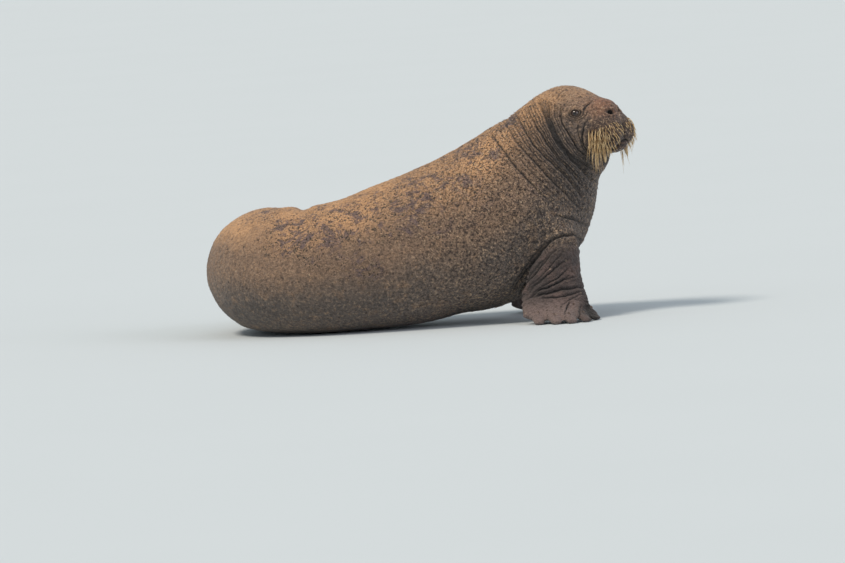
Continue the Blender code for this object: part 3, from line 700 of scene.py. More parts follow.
def pressed(points, places):
    """How far folds raise or press in the skin, and how much shade is painted at each point for how deep in a
    fold it lies, from 0 to 1.
    """
    rise = np.zeros(len(points))
    painted_shade = np.zeros(len(points))
    sway = np.column_stack([noise(points, 0.030, 1), noise(points, 0.030, 2)])
    sway += 0.4 * np.column_stack([noise(points, 0.011, 3), noise(points, 0.011, 4)])
    places = places + sway * 0.9
    for line, width, depth in all_folds():
        reach = 5 * width / STEP
        near = ((places > line.min(0) - reach) & (places < line.max(0) + reach)).all(1)
        d, along = line_distance(places[near], line)
        fade = np.sqrt(np.sin(math.pi * np.clip(0.06 + 0.9 * along, 0, 1)))
        fine = width < FINE_FOLD
        ridge = 0.38 * bump(d - 2.1 * width, 1.2 * width) if fine else 0
        rise[near] -= depth * fade * (bump(d, width) - ridge)
        # How dark the painted shade in a fold is: by its depth in narrow folds, faint in wide ones
        dark = min(depth / 0.0030, 1.2) if fine else 0.12
        painted_shade[near] = np.maximum(painted_shade[near], fade * bump(d, width * 0.78) * dark)
    return rise, painted_shade


def patches(places, table):
    """For each patch of a table, its strength near its line, falling to 0 at its width."""
    for strength, width, line in table:
        d, _ = line_distance(places, np.array(line, float))
        yield strength * bump(d / STEP, width)


def torso_place(points):
    """Where points lie on the torso: from 0 at the tail to 1 at the neck, the turn round it from the
    belly, how near the back, and the way from neck to tail."""
    nearest = np.empty(len(points), int)
    for part in np.array_split(np.arange(len(points)), max(1, len(points) // 40000)):
        off = points[part][:, None] - torso.centres
        nearest[part] = (off * off).sum(2).argmin(1)
    off = points - torso.centres[nearest]
    along = torso.along[nearest]
    level = unit(np.cross(along, (0, 0, 1)))
    upright = np.cross(level, along)
    across = (off * level).sum(1)
    rise = (off * upright).sum(1)
    turn = np.arctan2(across, -rise) / (2 * math.pi) + 0.5
    return nearest / (len(torso.centres) - 1), turn, rise / torso.high[nearest], -along


def body_marks_and_light(points, places, on_head, limb, painted_shade):
    """What the finish follows: back, where sunlight is painted, bare skin, scabs, painted shade in folds;
    flipper, nose, whisker pad, lip.
    """
    q = to_head(points)
    m = np.column_stack([q[:, 0], np.abs(q[:, 1]), q[:, 2]])
    _, _, rise, _ = torso_place(points)
    # Painted sunlight: how near the top of the torso, and of the head, each point lies
    back = ramp(-0.6, 1.0, rise) * (1 - on_head) + 0.80 * ramp(-0.04, 0.12, q[:, 2]) * on_head
    bare, scabs = (np.maximum.reduce(list(patches(places, table))) for table in (BARE_SKIN, SCABS))
    flipper = ramp(0.035, 0.0, limb) * ramp(0.36, 0.27, points[:, 2])
    nose = bump(np.sqrt(((m - (0.180, 0.0, 0.035)) ** 2).sum(1)), 0.080)
    pad = ramp(0.034, 0.004, head_form(points, "pad")) * ramp(0.012, -0.018, q[:, 2])
    lip = ramp(0.008, -0.002, head_form(points, "chin")) * ramp(0.13, 0.16, q[:, 0])
    return (np.column_stack([back, bare, scabs, painted_shade]),
            np.column_stack([flipper, nose * on_head, pad * on_head, lip * on_head]))


# An eye's opening: half its length, and its height above and below the middle
EYE_LENGTH = 0.0155
EYE_ABOVE = 0.0088
EYE_BELOW = 0.0090

# Rings round an eye: place in openings' widths, width, height, and how much less of it above the eye
LID_RINGS = [
    (1.75, 0.19, -0.0040, 0.0),
    (2.12, 0.22, 0.0026, 0.0),
    (2.50, 0.17, -0.0030, 0.7),
    (2.88, 0.24, 0.0020, 0.7),
    (3.25, 0.18, -0.0022, 1.0),
    (3.60, 0.25, 0.0012, 1.0),
]


def eye_place(points, side):
    """The points round an eye, how many openings' widths they lie from its middle, how far above it,
    and their offsets from the eyeball's centre."""
    centre = eye_centre(side)
    here = within(points, centre, 0.056)
    off = points[here] - centre
    along, high, _ = eye_axes(side)
    a, b = off @ along, off @ high
    tall = np.where(b > 0, EYE_ABOVE, EYE_BELOW)
    return here, np.sqrt((a / EYE_LENGTH) ** 2 + (b / tall) ** 2), b, off


def head_relief(points, painted_shade):
    """How far the mouth, the parting of the pads and the nostrils move the skin, and the painted shade of the
    folds with that painted into these and into the rings round the eyes."""
    q = to_head(points)
    rise = np.zeros(len(points))
    chin = head_form(points, "chin")
    others = np.minimum(head_form(points, "pad"), head_form(points, "snout"))
    near = ramp(0.10, 0.14, q[:, 0]) * ramp(-0.06, -0.085, q[:, 2])
    mouth = bump(chin - others, 0.0042) * near
    parting = bump(q[:, 1], 0.0045) * ramp(0.19, 0.215, q[:, 0]) * ramp(-0.02, -0.05, q[:, 2])
    parting *= 1 - ramp(-0.100, -0.112, q[:, 2])
    rise -= 0.010 * mouth + 0.005 * parting
    # Painted shade in the groove of the mouth and the parting of the pads
    painted_shade = np.maximum(painted_shade, np.maximum(mouth, 0.7 * parting))
    for side in (-1, 1):
        _, width, length = nostril_axes(side)
        off = points - nostril_centre(side)
        e = np.sqrt((off @ width / 0.0132) ** 2 + (off @ length / 0.0172) ** 2)
        here = (off * off).sum(1) < 0.04**2
        hole = ramp(1.0, 0.45, e) * here
        rise += here * (0.0030 * bump(e - 1.35, 0.32)) - 0.017 * hole
        # Painted shade inside the nostril
        painted_shade = np.maximum(painted_shade, np.minimum(hole * 2, 1.3))
        here, e, b, _ = eye_place(points, side)
        below = ramp(0.002, -0.004, b)
        # Painted shade on the eye's rim and in the folds round it
        rings = 1.1 * bump(e - 1.75, 0.20) + bump(e - 1.02, 0.10)
        rings += below * (0.9 * bump(e - 2.5, 0.17) + 0.7 * bump(e - 3.25, 0.2))
        painted_shade[here] = np.maximum(painted_shade[here], rings)
    return rise, np.clip(painted_shade, 0, 1.3)


def open_eyes(points):
    """Lids round each eyeball: the rim stands over it, and rings of folds lie round the rim."""
    for side in (-1, 1):
        here, e, b, off = eye_place(points, side)
        reach = np.sqrt((off * off).sum(1))
        upper = ramp(-0.002, 0.006, b)
        rim = EYE_RADIUS + 0.0012 + (0.0030 + 0.0022 * upper) * bump(e - 1.26, 0.26)
        ringed = reach
        for place, width, height, less in LID_RINGS:
            ringed = ringed + height * (1 - less * upper) * bump(e - place, width)
        close = ramp(1.70, 1.42, e)
        want = ringed * (1 - close) + rim * close
        want = np.where(e < 1.0, EYE_RADIUS - 0.0035 * ramp(1.0, 0.82, e), want)
        points[here] = eye_centre(side) + off / reach[:, None] * want[:, None]
    return points


def soft_relief(points, places, on_head, limb):
    """How far swellings, wrinkles and the flippers' grain move the skin."""
    swelling = 0.0032 * noise(points, 0.16, 5) + 0.0014 * noise(points, 0.06, 6)
    rise = swelling * (1 - 0.65 * on_head)
    neck = np.clip(sum(patches(places, WRINKLES)), 0, 1)
    across = places @ WRINKLE_WAY * STEP + 0.006 * noise(points, 0.028, 7)
    waves = np.sin(across * 2 * math.pi / WRINKLE_SPACING)
    rise += WRINKLE_DEPTH * waves * neck * (0.5 + 0.7 * noise(points, 0.02, 8))
    fore = ramp(-0.1, 0.45, points[:, 0])
    rise += (0.0008 + 0.0012 * neck + 0.0006 * fore) * noise(points, 0.013, 9) * (1 - 0.4 * on_head)
    return rise + 0.0011 * ramp(0.03, 0.0, limb) * noise(points * (1.0, 0.45, 1.0), 0.016, 10)


def wrinkled(mesh):
    """Folds, creases and soft swellings pressed into the skin, and the marks, painted sunlight and painted
    fold shade that its finish follows.
    """
    points = spots_of(mesh) - SHIFT
    normals = read_all(mesh.vertices, "normal", 3)
    on_body = torso(points)
    near_head = head_distance(points) - on_body
    on_head = ramp(0.04, -0.03, near_head)
    front, hind = flipper_distance(points)
    limb = np.minimum.reduce(front + hind) + 0.03 * ramp(0.02, -0.03, on_body)
    places = mirrored_view(points, near_head)
    rise, painted_shade = pressed(points, places)
    more, painted_shade = head_relief(points, painted_shade)
    rise = (rise + soft_relief(points, places, on_head, limb) + more) * ramp(0.0, 0.03, points[:, 2])
    marks_and_painted_light, zones = body_marks_and_light(points, places, on_head, limb, painted_shade)
    points = points + normals * np.clip(rise, DEEPEST, HIGHEST)[:, None]
    points[:, 2] = np.maximum(points[:, 2], FLOOR_GAP)
    set_spots(mesh, open_eyes(points) + SHIFT)
    set_layer(mesh, "marks_and_painted_light", marks_and_painted_light)
    set_layer(mesh, "zones", zones)
    return mesh


def linear(code):
    """A shader colour from an sRGB hex code."""
    parts = [int(code[i:i + 2], 16) / 255 for i in (1, 3, 5)]
    return (*[c / 12.92 if c <= 0.04045 else ((c + 0.055) / 1.055) ** 2.4 for c in parts], 1.0)


def put(tree, kind, inputs=None, out=0, **settings):
    """Adds a node with its settings and links, and gives one of its outputs, or all of them without out.
    An input is a value, or the socket that is linked to it."""
    node = tree.nodes.new(kind)
    for key, value in settings.items():
        setattr(node, key, value)
    for key, value in (inputs or {}).items():
        if isinstance(value, bpy.types.NodeSocket):
            tree.links.new(value, node.inputs[key])
        else:
            node.inputs[key].default_value = value
    return node.outputs if out is None else node.outputs[out]


TIMES = {"operation": "MULTIPLY"}
TIMES_PLUS = {"operation": "MULTIPLY_ADD"}
SMOOTH = {"interpolation_type": "SMOOTHSTEP"}


def new_finish(name):
    """An empty material, its nodes, and the place that its patterns are read at."""
    made = bpy.data.materials.new(name)
    made.use_nodes = True
    made.node_tree.nodes.clear()
    return made, made.node_tree, put(made.node_tree, "ShaderNodeTexCoord", out="Object")


def layered(tree, colour, layers):
    """Colours laid over a first one. Each has what it follows, between which values it comes in, or None
    where it follows the value itself, how strong it is, and its colour: a code or a socket."""
    if isinstance(colour, str):
        colour = linear(colour)
    for value, ends, strength, shade in layers:
        if ends:
            span = {"Value": value, "From Min": ends[0], "From Max": ends[1]}
            value = put(tree, "ShaderNodeMapRange", span, **SMOOTH)
        share = put(tree, "ShaderNodeMath", {0: value, 1: strength}, **TIMES)
        shade = linear(shade) if isinstance(shade, str) else shade
        colour = put(tree, "ShaderNodeMix", {0: share, 6: colour, 7: shade}, 2, data_type="RGBA")
    return colour


def surfaced(made, inputs):
    """The material with its shader."""
    tree = made.node_tree
    put(tree, "ShaderNodeOutputMaterial", {0: put(tree, "ShaderNodeBsdfPrincipled", inputs)}, None)
    return made


# The hide's noises: bumps to a metre, detail, roughness and swirl. Changes over 25 cm and 6 cm, mottling of
# 18 mm, grain of 11 mm, drawn coarser than the hair, bare patches, flecks and wrinkles of 20 mm
HIDE_NOISES = [(4, 4, 0.5, 0), (17, 4, 0.5, 0), (55, 4, 0.65, 0), (88, 4, 0.78, 0), (11, 7, 0.8, 0.6),
               (88, 2, 0.6, 0.8), (48, 4, 0.5, 1.2)]

# How many dots to a metre: dark dots, pale scars and pebbles 9 mm across
HIDE_DOTS = [26, 17, 105]


def hide_finish(name, coat=False):
    """Walrus hide, thick and finely pebbled under a short flat coat: dull, golden brown where sunlight is
    painted on the back, grey brown below, with dark scabs, bare grey-mauve patches, painted shade in the
    folds and the grain's pits, and painted highlights on the grain."""
    made, tree, place = new_finish(name)
    marks_and_painted_light, zones = (put(tree, "ShaderNodeAttribute", out=None, attribute_name=layer)
                    for layer in ("marks_and_painted_light", "zones"))
    back, bare, scabs = put(tree, "ShaderNodeSeparateColor", {0: marks_and_painted_light["Color"]}, None)
    flipper, nose, pad = put(tree, "ShaderNodeSeparateColor", {0: zones["Color"]}, None)
    painted_shade, lip = marks_and_painted_light["Alpha"], zones["Alpha"]
    x, _, z = put(tree, "ShaderNodeSeparateXYZ", {0: place}, None)
    wide, cloud, mottle, grain, grazed, flecks, lines = (
        put(tree, "ShaderNodeTexNoise", {"Vector": place, "Scale": scale, "Detail": detail,
                                         "Roughness": roughness, "Distortion": swirl})
        for scale, detail, roughness, swirl in HIDE_NOISES)
    dots, scars, pebbles = (put(tree, "ShaderNodeTexVoronoi", {"Vector": place, "Scale": scale}, "Distance")
                            for scale in HIDE_DOTS)

    # How far up the back, which sets the painted sunlight, in which clusters the scabs lie, and where there
    # is hair
    lift = put(tree, "ShaderNodeMath", {0: wide, 1: 0.6, 2: back}, **TIMES_PLUS)
    cluster = put(tree, "ShaderNodeMath", {0: scabs, 1: cloud}, **TIMES)
    haired = put(tree, "ShaderNodeMath", {0: flipper, 1: -1.0, 2: 1.0}, **TIMES_PLUS)
    fore = put(tree, "ShaderNodeMapRange", {"Value": x, "From Min": -0.35, "From Max": 0.45}, **SMOOTH)
    strewn = put(tree, "ShaderNodeMath", {0: fore, 1: 0.20, 2: cluster}, **TIMES_PLUS)
    clustered, scattered, nearer = (
        put(tree, "ShaderNodeMapRange", {"Value": value, "From Min": low, "From Max": high}, **SMOOTH)
        for value, low, high in ((cluster, 0.14, 0.34), (strewn, 0.11, 0.34), (fore, -0.8, 0.9)))

    # How strong the painted shade in the grain's pits and the painted highlights on its rises are: strongest
    # toward the neck, weaker on flippers and face
    head = tuple(HEAD_AT + SHIFT)
    off = put(tree, "ShaderNodeVectorMath", {0: place, 1: head}, "Value", operation="DISTANCE")
    face = put(tree, "ShaderNodeMapRange", {"Value": off, "From Min": 0.30, "From Max": 0.20,
                                            "To Min": 1.0, "To Max": 0.75})
    grain_shading = put(tree, "ShaderNodeMath", {0: flipper, 1: -0.6, 2: 1.0}, **TIMES_PLUS)
    for part in (nearer, face):
        grain_shading = put(tree, "ShaderNodeMath", {0: grain_shading, 1: part}, **TIMES)
    pale, bared, pit_shade, grain_highlight = (
        put(tree, "ShaderNodeMath", {0: value, 1: part}, **TIMES)
        for value, part in ((haired, 0.5), (clustered, 0.85), (grain_shading, 0.92), (grain_shading, 0.62)))
    grain_highlight = put(tree, "ShaderNodeMath", {0: grain_highlight, 1: haired}, **TIMES)

    # Dark soles and a brown snout, then all from the grey belly and the painted sunlight on the back to the
    # painted shade in the folds
    palm = layered(tree, "#423937", [
        (cloud, (0.42, 0.66), 1.0, "#5e4d48"),
        (z, (0.14, 0.04), 1.0, "#776661"),
    ])
    snout = layered(tree, "#644436", [(cloud, (0.4, 0.6), 1.0, "#875c47")])
    colour = layered(tree, "#5b524c", [
        # Painted sunlight: browner, then golden, toward the top of the back and head
        (lift, (0.22, 0.74), 1.0, "#836a56"),
        (lift, (0.88, 1.36), 1.0, "#cb9d70"),
        (cloud, (0.52, 0.75), 0.5, "#927459"),
        (bare, None, 0.75, "#5c534e"),
        (flipper, None, 1.0, palm),
        (nose, None, 1.0, snout),
        (pad, None, 0.9, "#3f2d24"),
        (lip, None, 1.0, "#4a3228"),
        (mottle, (0.52, 0.74), pale, "#a88767"),
        (mottle, (0.48, 0.30), 0.6, "#41322a"),
        (grazed, (0.51, 0.57), bared, "#5c4d51"),
        (flecks, (0.55, 0.60), scattered, "#22160f"),
        (dots, (0.17, 0.10), 0.85, "#38271f"),
        (scars, (0.085, 0.05), 0.7, "#ab967e"),
        # Painted shade in the grain's pits and painted highlights on its rises: dark where the grain lies
        # low, pale where it stands high
        (grain, (0.49, 0.41), pit_shade, "#1e1511"),
        (grain, (0.54, 0.63), grain_highlight, "#c8ab8c"),
        # Painted shade in the folds, the mouth, the nostrils and the rings round the eyes
        (painted_shade, None, 1.0, "#120d0b"),
    ])

    # Dull where the mottling is pale, and a little wet on the lip
    gloss = put(tree, "ShaderNodeMapRange", {"Value": mottle, "From Min": 0.3, "From Max": 0.7,
                                             "To Min": 0.58, "To Max": 0.82})
    gloss = put(tree, "ShaderNodeMath", {0: lip, 1: -0.25, 2: gloss}, **TIMES_PLUS)
    inputs = {"Base Color": colour, "Roughness": gloss, "IOR": 1.45, "Specular IOR Level": 0.35,
              "Sheen Weight": 0.12, "Sheen Roughness": 0.6}

    # Relief of the bare skin: wrinkles, pebbles and grain
    if not coat:
        height = lines
        for value, part in ((pebbles, -0.45), (grain, 0.9)):
            height = put(tree, "ShaderNodeMath", {0: value, 1: part, 2: height}, **TIMES_PLUS)
        inputs["Normal"] = put(tree, "ShaderNodeBump", {"Height": height, "Strength": 0.9, "Distance": 0.008})
    return surfaced(made, inputs)


def eye_finish():
    """A wet dark eye: brown iris, black pupil and a dark brown rim, under a clear glossy cornea."""
    made, tree, place = new_finish("wet_dark_eye")
    angle = put(tree, "ShaderNodeAttribute", None, "Fac", attribute_name="ring")
    fibre = put(tree, "ShaderNodeTexNoise", {"Vector": place, "Scale": 400.0, "Detail": 4.0})
    colour = layered(tree, "#1c110c", [
        (fibre, None, 1.0, "#3a2417"),
        (angle, (0.34, 0.30), 1.0, "#050404"),
        (angle, (0.72, 0.86), 1.0, "#33201a"),
    ])
    return surfaced(made, {"Base Color": colour, "Roughness": 0.12, "IOR": 1.38,
                           "Coat Weight": 1.0, "Coat Roughness": 0.03, "Coat IOR": 1.376})


def tusk_finish():
    """Young walrus ivory: cream with brown stain toward the gum, faint long cracks, a satin polish."""
    made, tree, place = new_finish("stained_ivory")
    down = put(tree, "ShaderNodeAttribute", None, "Fac", attribute_name="ring")
    long_way = put(tree, "ShaderNodeMapping", {"Vector": place, "Scale": (1.0, 1.0, 0.15)})
    cracks = put(tree, "ShaderNodeTexNoise", {"Vector": long_way, "Scale": 520.0, "Detail": 4.0})
    stain = put(tree, "ShaderNodeTexNoise", {"Vector": place, "Scale": 90.0, "Detail": 3.0})
    colour = layered(tree, "#cdb48c", [
        (stain, (0.35, 0.7), 1.0, "#b3936a"),
        (down, (0.75, 0.35), 1.0, "#7b5a3e"),
        (cracks, (0.40, 0.30), 1.0, "#6b4e36"),
    ])
    relief = put(tree, "ShaderNodeBump", {"Height": cracks, "Strength": 0.25, "Distance": 0.0006})
    return surfaced(made, {"Base Color": colour, "Roughness": 0.38, "IOR": 1.54, "Normal": relief})


def whisker_finish():
    """Stiff horn-like bristles: golden cream, browner at the root, which also paints the shade among the
    crowded bristles, each a little its own tone, satin.
    """
    made, tree, place = new_finish("bristle_keratin")
    along = put(tree, "ShaderNodeAttribute", None, "Fac", attribute_name="ring")
    tone = put(tree, "ShaderNodeTexNoise", {"Vector": place, "Scale": 70.0, "Detail": 1.0})
    colour = layered(tree, "#a98758", [
        (tone, (0.35, 0.65), 1.0, "#d8bd8e"),
        # Browner toward the root: partly the bristles' own tone, partly painted shade where they crowd at the
        # skin
        (along, (0.30, 0.0), 1.0, "#4a3324"),
    ])
    return surfaced(made, {"Base Color": colour, "Roughness": 0.42, "IOR": 1.54})


def nail_finish():
    """Worn dark horn: grey brown with a fine uneven relief, paler at the tip."""
    made, tree, place = new_finish("worn_horn")
    along = put(tree, "ShaderNodeAttribute", None, "Fac", attribute_name="ring")
    uneven = put(tree, "ShaderNodeTexNoise", {"Vector": place, "Scale": 600.0, "Detail": 3.0})
    colour = layered(tree, "#2c2320", [(along, None, 1.0, "#6f5d50"), (uneven, (0.55, 0.7), 1.0, "#4a3b33")])
    relief = put(tree, "ShaderNodeBump", {"Height": uneven, "Strength": 0.3, "Distance": 0.0004})
    return surfaced(made, {"Base Color": colour, "Roughness": 0.5, "IOR": 1.54, "Normal": relief})


def finished(name, mesh, finish, slot, *nodes):
    """A piece of the model, smooth, in its finish, riding on the body and in place of its solids."""
    mesh.materials.clear()
    mesh.materials.append(finish)
    mesh.shade_smooth()
    obj = shown(name, mesh)
    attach(obj, "root")
    if nodes:
        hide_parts(*nodes)
    return obj


def tubes(name, paths, radii, sides, flat=1.0):
    """Closed tapered tubes along paths, in one mesh: paths is tubes by points by 3, radii tubes by points."""
    count, steps = paths.shape[:2]
    along = unit(np.gradient(paths, axis=1))
    across = unit(np.cross(along, HEAD_AXES[0] + 0.31 * HEAD_AXES[1]))
    other = np.cross(along, across)
    turns = 2 * math.pi * np.arange(sides) / sides
    ring = across[:, :, None] * np.cos(turns)[:, None] + other[:, :, None] * (flat * np.sin(turns)[:, None])
    points = paths[:, :, None] + ring * radii[:, :, None, None]
    k = np.arange(sides)
    quads = np.column_stack([k, (k + 1) % sides, (k + 1) % sides + sides, k + sides])
    rows = (quads[None] + sides * np.arange(steps - 1)[:, None, None]).reshape(-1, 4)
    faces = (rows[None] + steps * sides * np.arange(count)[:, None, None]).reshape(-1, 4).tolist()
    for i in range(count):
        first = i * steps * sides
        last = first + (steps - 1) * sides
        faces.append([first + j for j in reversed(range(sides))])
        faces.append([last + j for j in range(sides)])
    mesh = mesh_of(name, points.reshape(-1, 3), faces)
    set_layer(mesh, "ring", np.tile(np.repeat(np.linspace(0, 1, steps), sides), count))
    return mesh


def bake_patches(mesh, places, per_tuft):
    """The bake map of many like pieces: each a small patch at its root's place."""
    corners = read_all(mesh.loops, "vertex_index", 1, np.int32)
    piece = corners // per_tuft
    spread = (corners % per_tuft) / per_tuft * 2 * math.pi
    spot = places[piece] + 0.0015 * np.column_stack([np.cos(spread), np.sin(spread)])
    layer = mesh.uv_layers.new(name="OFBake")
    layer.data.foreach_set("uv", spot.astype(np.float32).ravel())


# Whiskers: rows down the pad, bristles in a row, turns and tilts in degrees, and lengths
WHISKER_ROWS = 11
WHISKER_COLUMNS = 17
WHISKER_TURNS = (-22, 126)
WHISKER_TILTS = (38, -60)
WHISKER_LENGTHS = (0.024, 0.135)

# A bristle's radius at its root, its sides, the points along it, and how deep it is rooted
WHISKER_RADIUS = 0.0016
WHISKER_SIDES = 5
WHISKER_STEPS = 9
WHISKER_ROOTING = 0.004

# Bristles grow ahead of PAD_BACK, below PAD_TOP and farther out than PAD_INSIDE, but not at the mouth
PAD_BACK = 0.145
PAD_TOP = -0.026
PAD_INSIDE = 0.012
MOUTH_HALF_WIDTH = 0.046
MOUTH_TOP = -0.078


def between(ends, share):
    return ends[0] + share * (ends[1] - ends[0])


def whisker_roots(side, draw):
    """Roots on one pad, the outward way at each, and its place across and down the pad."""
    across, down = np.meshgrid(np.arange(WHISKER_COLUMNS), np.arange(WHISKER_ROWS))
    across = (across + 0.5 * (down % 2)).ravel() + draw.uniform(-0.22, 0.22, across.size)
    down = down.ravel() + draw.uniform(-0.22, 0.22, down.size)
    across = across / WHISKER_COLUMNS
    down = down / (WHISKER_ROWS - 1)
    turn = np.radians(between(WHISKER_TURNS, across))
    tilted = np.radians(between(WHISKER_TILTS, down))
    flat = np.cos(tilted)
    way = np.column_stack([flat * np.cos(turn), side * flat * np.sin(turn), np.sin(tilted)]) @ HEAD_AXES
    spots = from_head(np.array(PAD_CENTRE) * (1, side, 1)) + way * 0.02
    for _ in range(24):
        spots = spots - way * (0.7 * body_distance(spots) + 0.7 * INSET)[:, None]
    f, r, u = to_head(spots).T
    r = r * side
    top = PAD_TOP - 0.25 * np.maximum(r - 0.05, 0) - 0.016 * ramp(0.05, 0.02, r)
    high = u > top + 0.004 * noise(spots, 0.01, 12)
    low = (u < LIP_HEIGHT - 0.004) & (r < LIP_HALF_WIDTH + 0.014)
    bare = (r < MOUTH_HALF_WIDTH) & (u < MOUTH_TOP)
    keep = (f > PAD_BACK) & (r > PAD_INSIDE) & ~low & ~high & ~bare
    _, normals = gradient(spots)
    return spots[keep], normals[keep], across[keep], down[keep]


def clear_of_skin(points, gap):
    """Points pushed out to at least a gap from the skin."""
    d, n = gradient(points.reshape(-1, 3))
    push = np.maximum(gap.reshape(-1) - d, 0)[:, None]
    return points + (n * push).reshape(points.shape)


def make_whiskers(side, name, draw):
    """The bristles of one pad: short and forward at the nose, long and hanging at the outside."""
    spots, normals, across, down = whisker_roots(side, draw)
    forward, right, up = HEAD_AXES
    count = len(spots)
    share = np.clip(across, 0, 1)
    length = between(WHISKER_LENGTHS, share**2.2)
    length = length * draw.uniform(0.6, 1.1, count) * (1 - 0.25 * down * (1 - share))
    lead = normals * (0.50 + 0.05 * share)[:, None] - up * 0.66
    lead = lead + forward * (0.32 - 0.42 * share)[:, None] - right * side * (0.22 - 0.34 * share)[:, None]
    lead = unit(lead + draw.normal(0, 0.13, (count, 3)))
    t = np.linspace(0, 1, WHISKER_STEPS)
    hang = np.array([0, 0, -0.55]) + right * side * -0.05
    paths = spots[:, None] + (lead * length[:, None])[:, None] * (t * (1 - 0.34 * t))[None, :, None]
    paths = paths + hang * (length[:, None] * t**2)[:, :, None]
    paths = paths + draw.normal(0, 0.003, (count, 1, 3)) * (t**2)[None, :, None]
    gap = np.tile(0.0035 * np.minimum(1.5 * t, 1) + 0.0006, (count, 1))
    for _ in range(3):
        paths = clear_of_skin(paths, gap)
    paths[:, 0] = spots - normals * WHISKER_ROOTING
    radii = WHISKER_RADIUS * (1 - 0.9 * t**1.6) * draw.uniform(0.85, 1.1, count)[:, None]
    paths[:, :, 2] = np.maximum(paths[:, :, 2], 0.01)
    mesh = tubes(f"whiskers_{name}", paths + SHIFT, radii, WHISKER_SIDES)
    places = 0.1 + 0.8 * np.clip(np.column_stack([across, down]), 0, 1)
    bake_patches(mesh, places, WHISKER_STEPS * WHISKER_SIDES)
    return mesh


def make_tusk(side, name):
    """A short tusk, bowed a little forward, with faint rings of growth."""
    root = np.array(TUSK_ROOT) * (1, side, 1)
    tip = np.array(TUSK_TIP) * (1, side, 1)
    t = np.linspace(0, 1, 26)
    bow = np.column_stack([0.006 * np.sin(math.pi * t), 0 * t, 0 * t])
    path = from_head(root + (tip - root) * t[:, None] + bow)
    radii = TUSK_RADIUS * np.sqrt(np.maximum(1 - t**5, 0.0004)) * (1 - 0.25 * t) * (1 + 0.02 * np.sin(t * 60))
    return tubes(f"tusk_{name}", path[None] + SHIFT, radii[None], 18)


def make_eye(side, name):
    """An eyeball with its clear front swelling, and the angle from its axis for the finish."""
    points, faces = ball(bmesh.ops.create_uvsphere, u_segments=48, v_segments=32)
    angle = np.arccos(np.clip(points[:, 2], -1, 1))
    swell = 1 + 0.05 * bump(angle, 0.45)
    points = (points * (EYE_RADIUS * swell)[:, None]) @ eye_axes(side)
    mesh = mesh_of(f"eye_{name}", points + eye_centre(side) + SHIFT, faces)
    set_layer(mesh, "ring", np.clip(angle, 0, 1.2))
    bm = bmesh.new()
    bm.from_mesh(mesh)
    bmesh.ops.recalc_face_normals(bm, faces=bm.faces)
    bm.to_mesh(mesh)
    bm.free()
    return mesh


# Nails of front and hind flippers: their lengths, and how far behind the digits' tips they start
NAILS = [
    (finger_rows, (0.016, 0.016, 0.016, 0.016, 0.016), 0.036),
    (toe_rows, (0.012, 0.022, 0.024, 0.022, 0.012), 0.040),
]

# Places along a nail, and its radius at the root against its length
NAIL_STEPS = np.linspace(0, 1, 7)
NAIL_RADIUS = 0.2625


def nail_paths():
    """A small nail on top of each digit, behind its tip; the middle ones of a hind flipper are longer."""
    for rows_of, lengths, behind in NAILS:
        for side in (-1, 1):
            for rows, length in zip(rows_of(side), lengths):
                middle, tip = np.array(rows[1][:3]), np.array(rows[2][:3])
                way = unit(tip - middle)
                start = on_surface(tip - way * behind + (0, 0, 0.03))
                normal = gradient(start[None])[1][0]
                arch = 0.0022 * np.sin(math.pi * (0.15 + 0.75 * NAIL_STEPS)) - 0.0016
                yield start + way * length * NAIL_STEPS[:, None] + normal * arch[:, None]


def make_nails():
    paths = np.array(list(nail_paths()))
    lengths = np.linalg.norm(paths[:, -1] - paths[:, 0], axis=1)[:, None]
    radii = NAIL_RADIUS * (1 - 0.75 * NAIL_STEPS**2) * lengths
    return tubes("nails", paths + SHIFT, radii, 8, flat=0.6)


# The coat: locks for each square metre, and a lock's length, width and lift
LOCKS = 21000
LOCK_LENGTH = 0.013
LOCK_WIDTH = 0.0030
LOCK_LIFT = 0.0019

# A lock is a thin spike of three root points and a tip
LOCK_FACES = np.array([(0, 2, 1), (0, 1, 3), (1, 2, 3), (2, 0, 3)])
COAT_PIECES = 3


def coat_roots(mesh, draw):
    """Random spots on the skin, thick on the body, sparse on the neck and none on flippers and muzzle."""
    mesh.calc_loop_triangles()
    corners = read_all(mesh.loop_triangles, "vertices", 3, np.int32)
    points = spots_of(mesh)
    marks_and_painted_light, zones = (read_all(mesh.attributes[name].data, "color", 4) for name in ("marks_and_painted_light", "zones"))
    a, b, c = (points[corners[:, k]] for k in range(3))
    cross = np.cross(b - a, c - a)
    area = np.sqrt((cross * cross).sum(1)) / 2
    first = corners[:, 0]
    bald = np.maximum.reduce([marks_and_painted_light[first, 1] * 0.8, zones[first].max(1), marks_and_painted_light[first, 3]])
    weight = area * np.clip(1 - 1.15 * bald, 0, 1) * (a[:, 2] > 0.03)
    for side in (-1, 1):
        weight[within(a - SHIFT, eye_centre(side), 0.045)] = 0
    count = int(LOCKS * weight.sum())
    chosen = draw.choice(len(area), count, p=weight / weight.sum())
    s, t = draw.random((2, count, 1))
    flip = s + t > 1
    s, t = np.where(flip, 1 - s, s), np.where(flip, 1 - t, t)
    spots = a[chosen] * (1 - s - t) + b[chosen] * s + c[chosen] * t
    return spots, unit(cross[chosen]), marks_and_painted_light[first[chosen]], zones[first[chosen]]


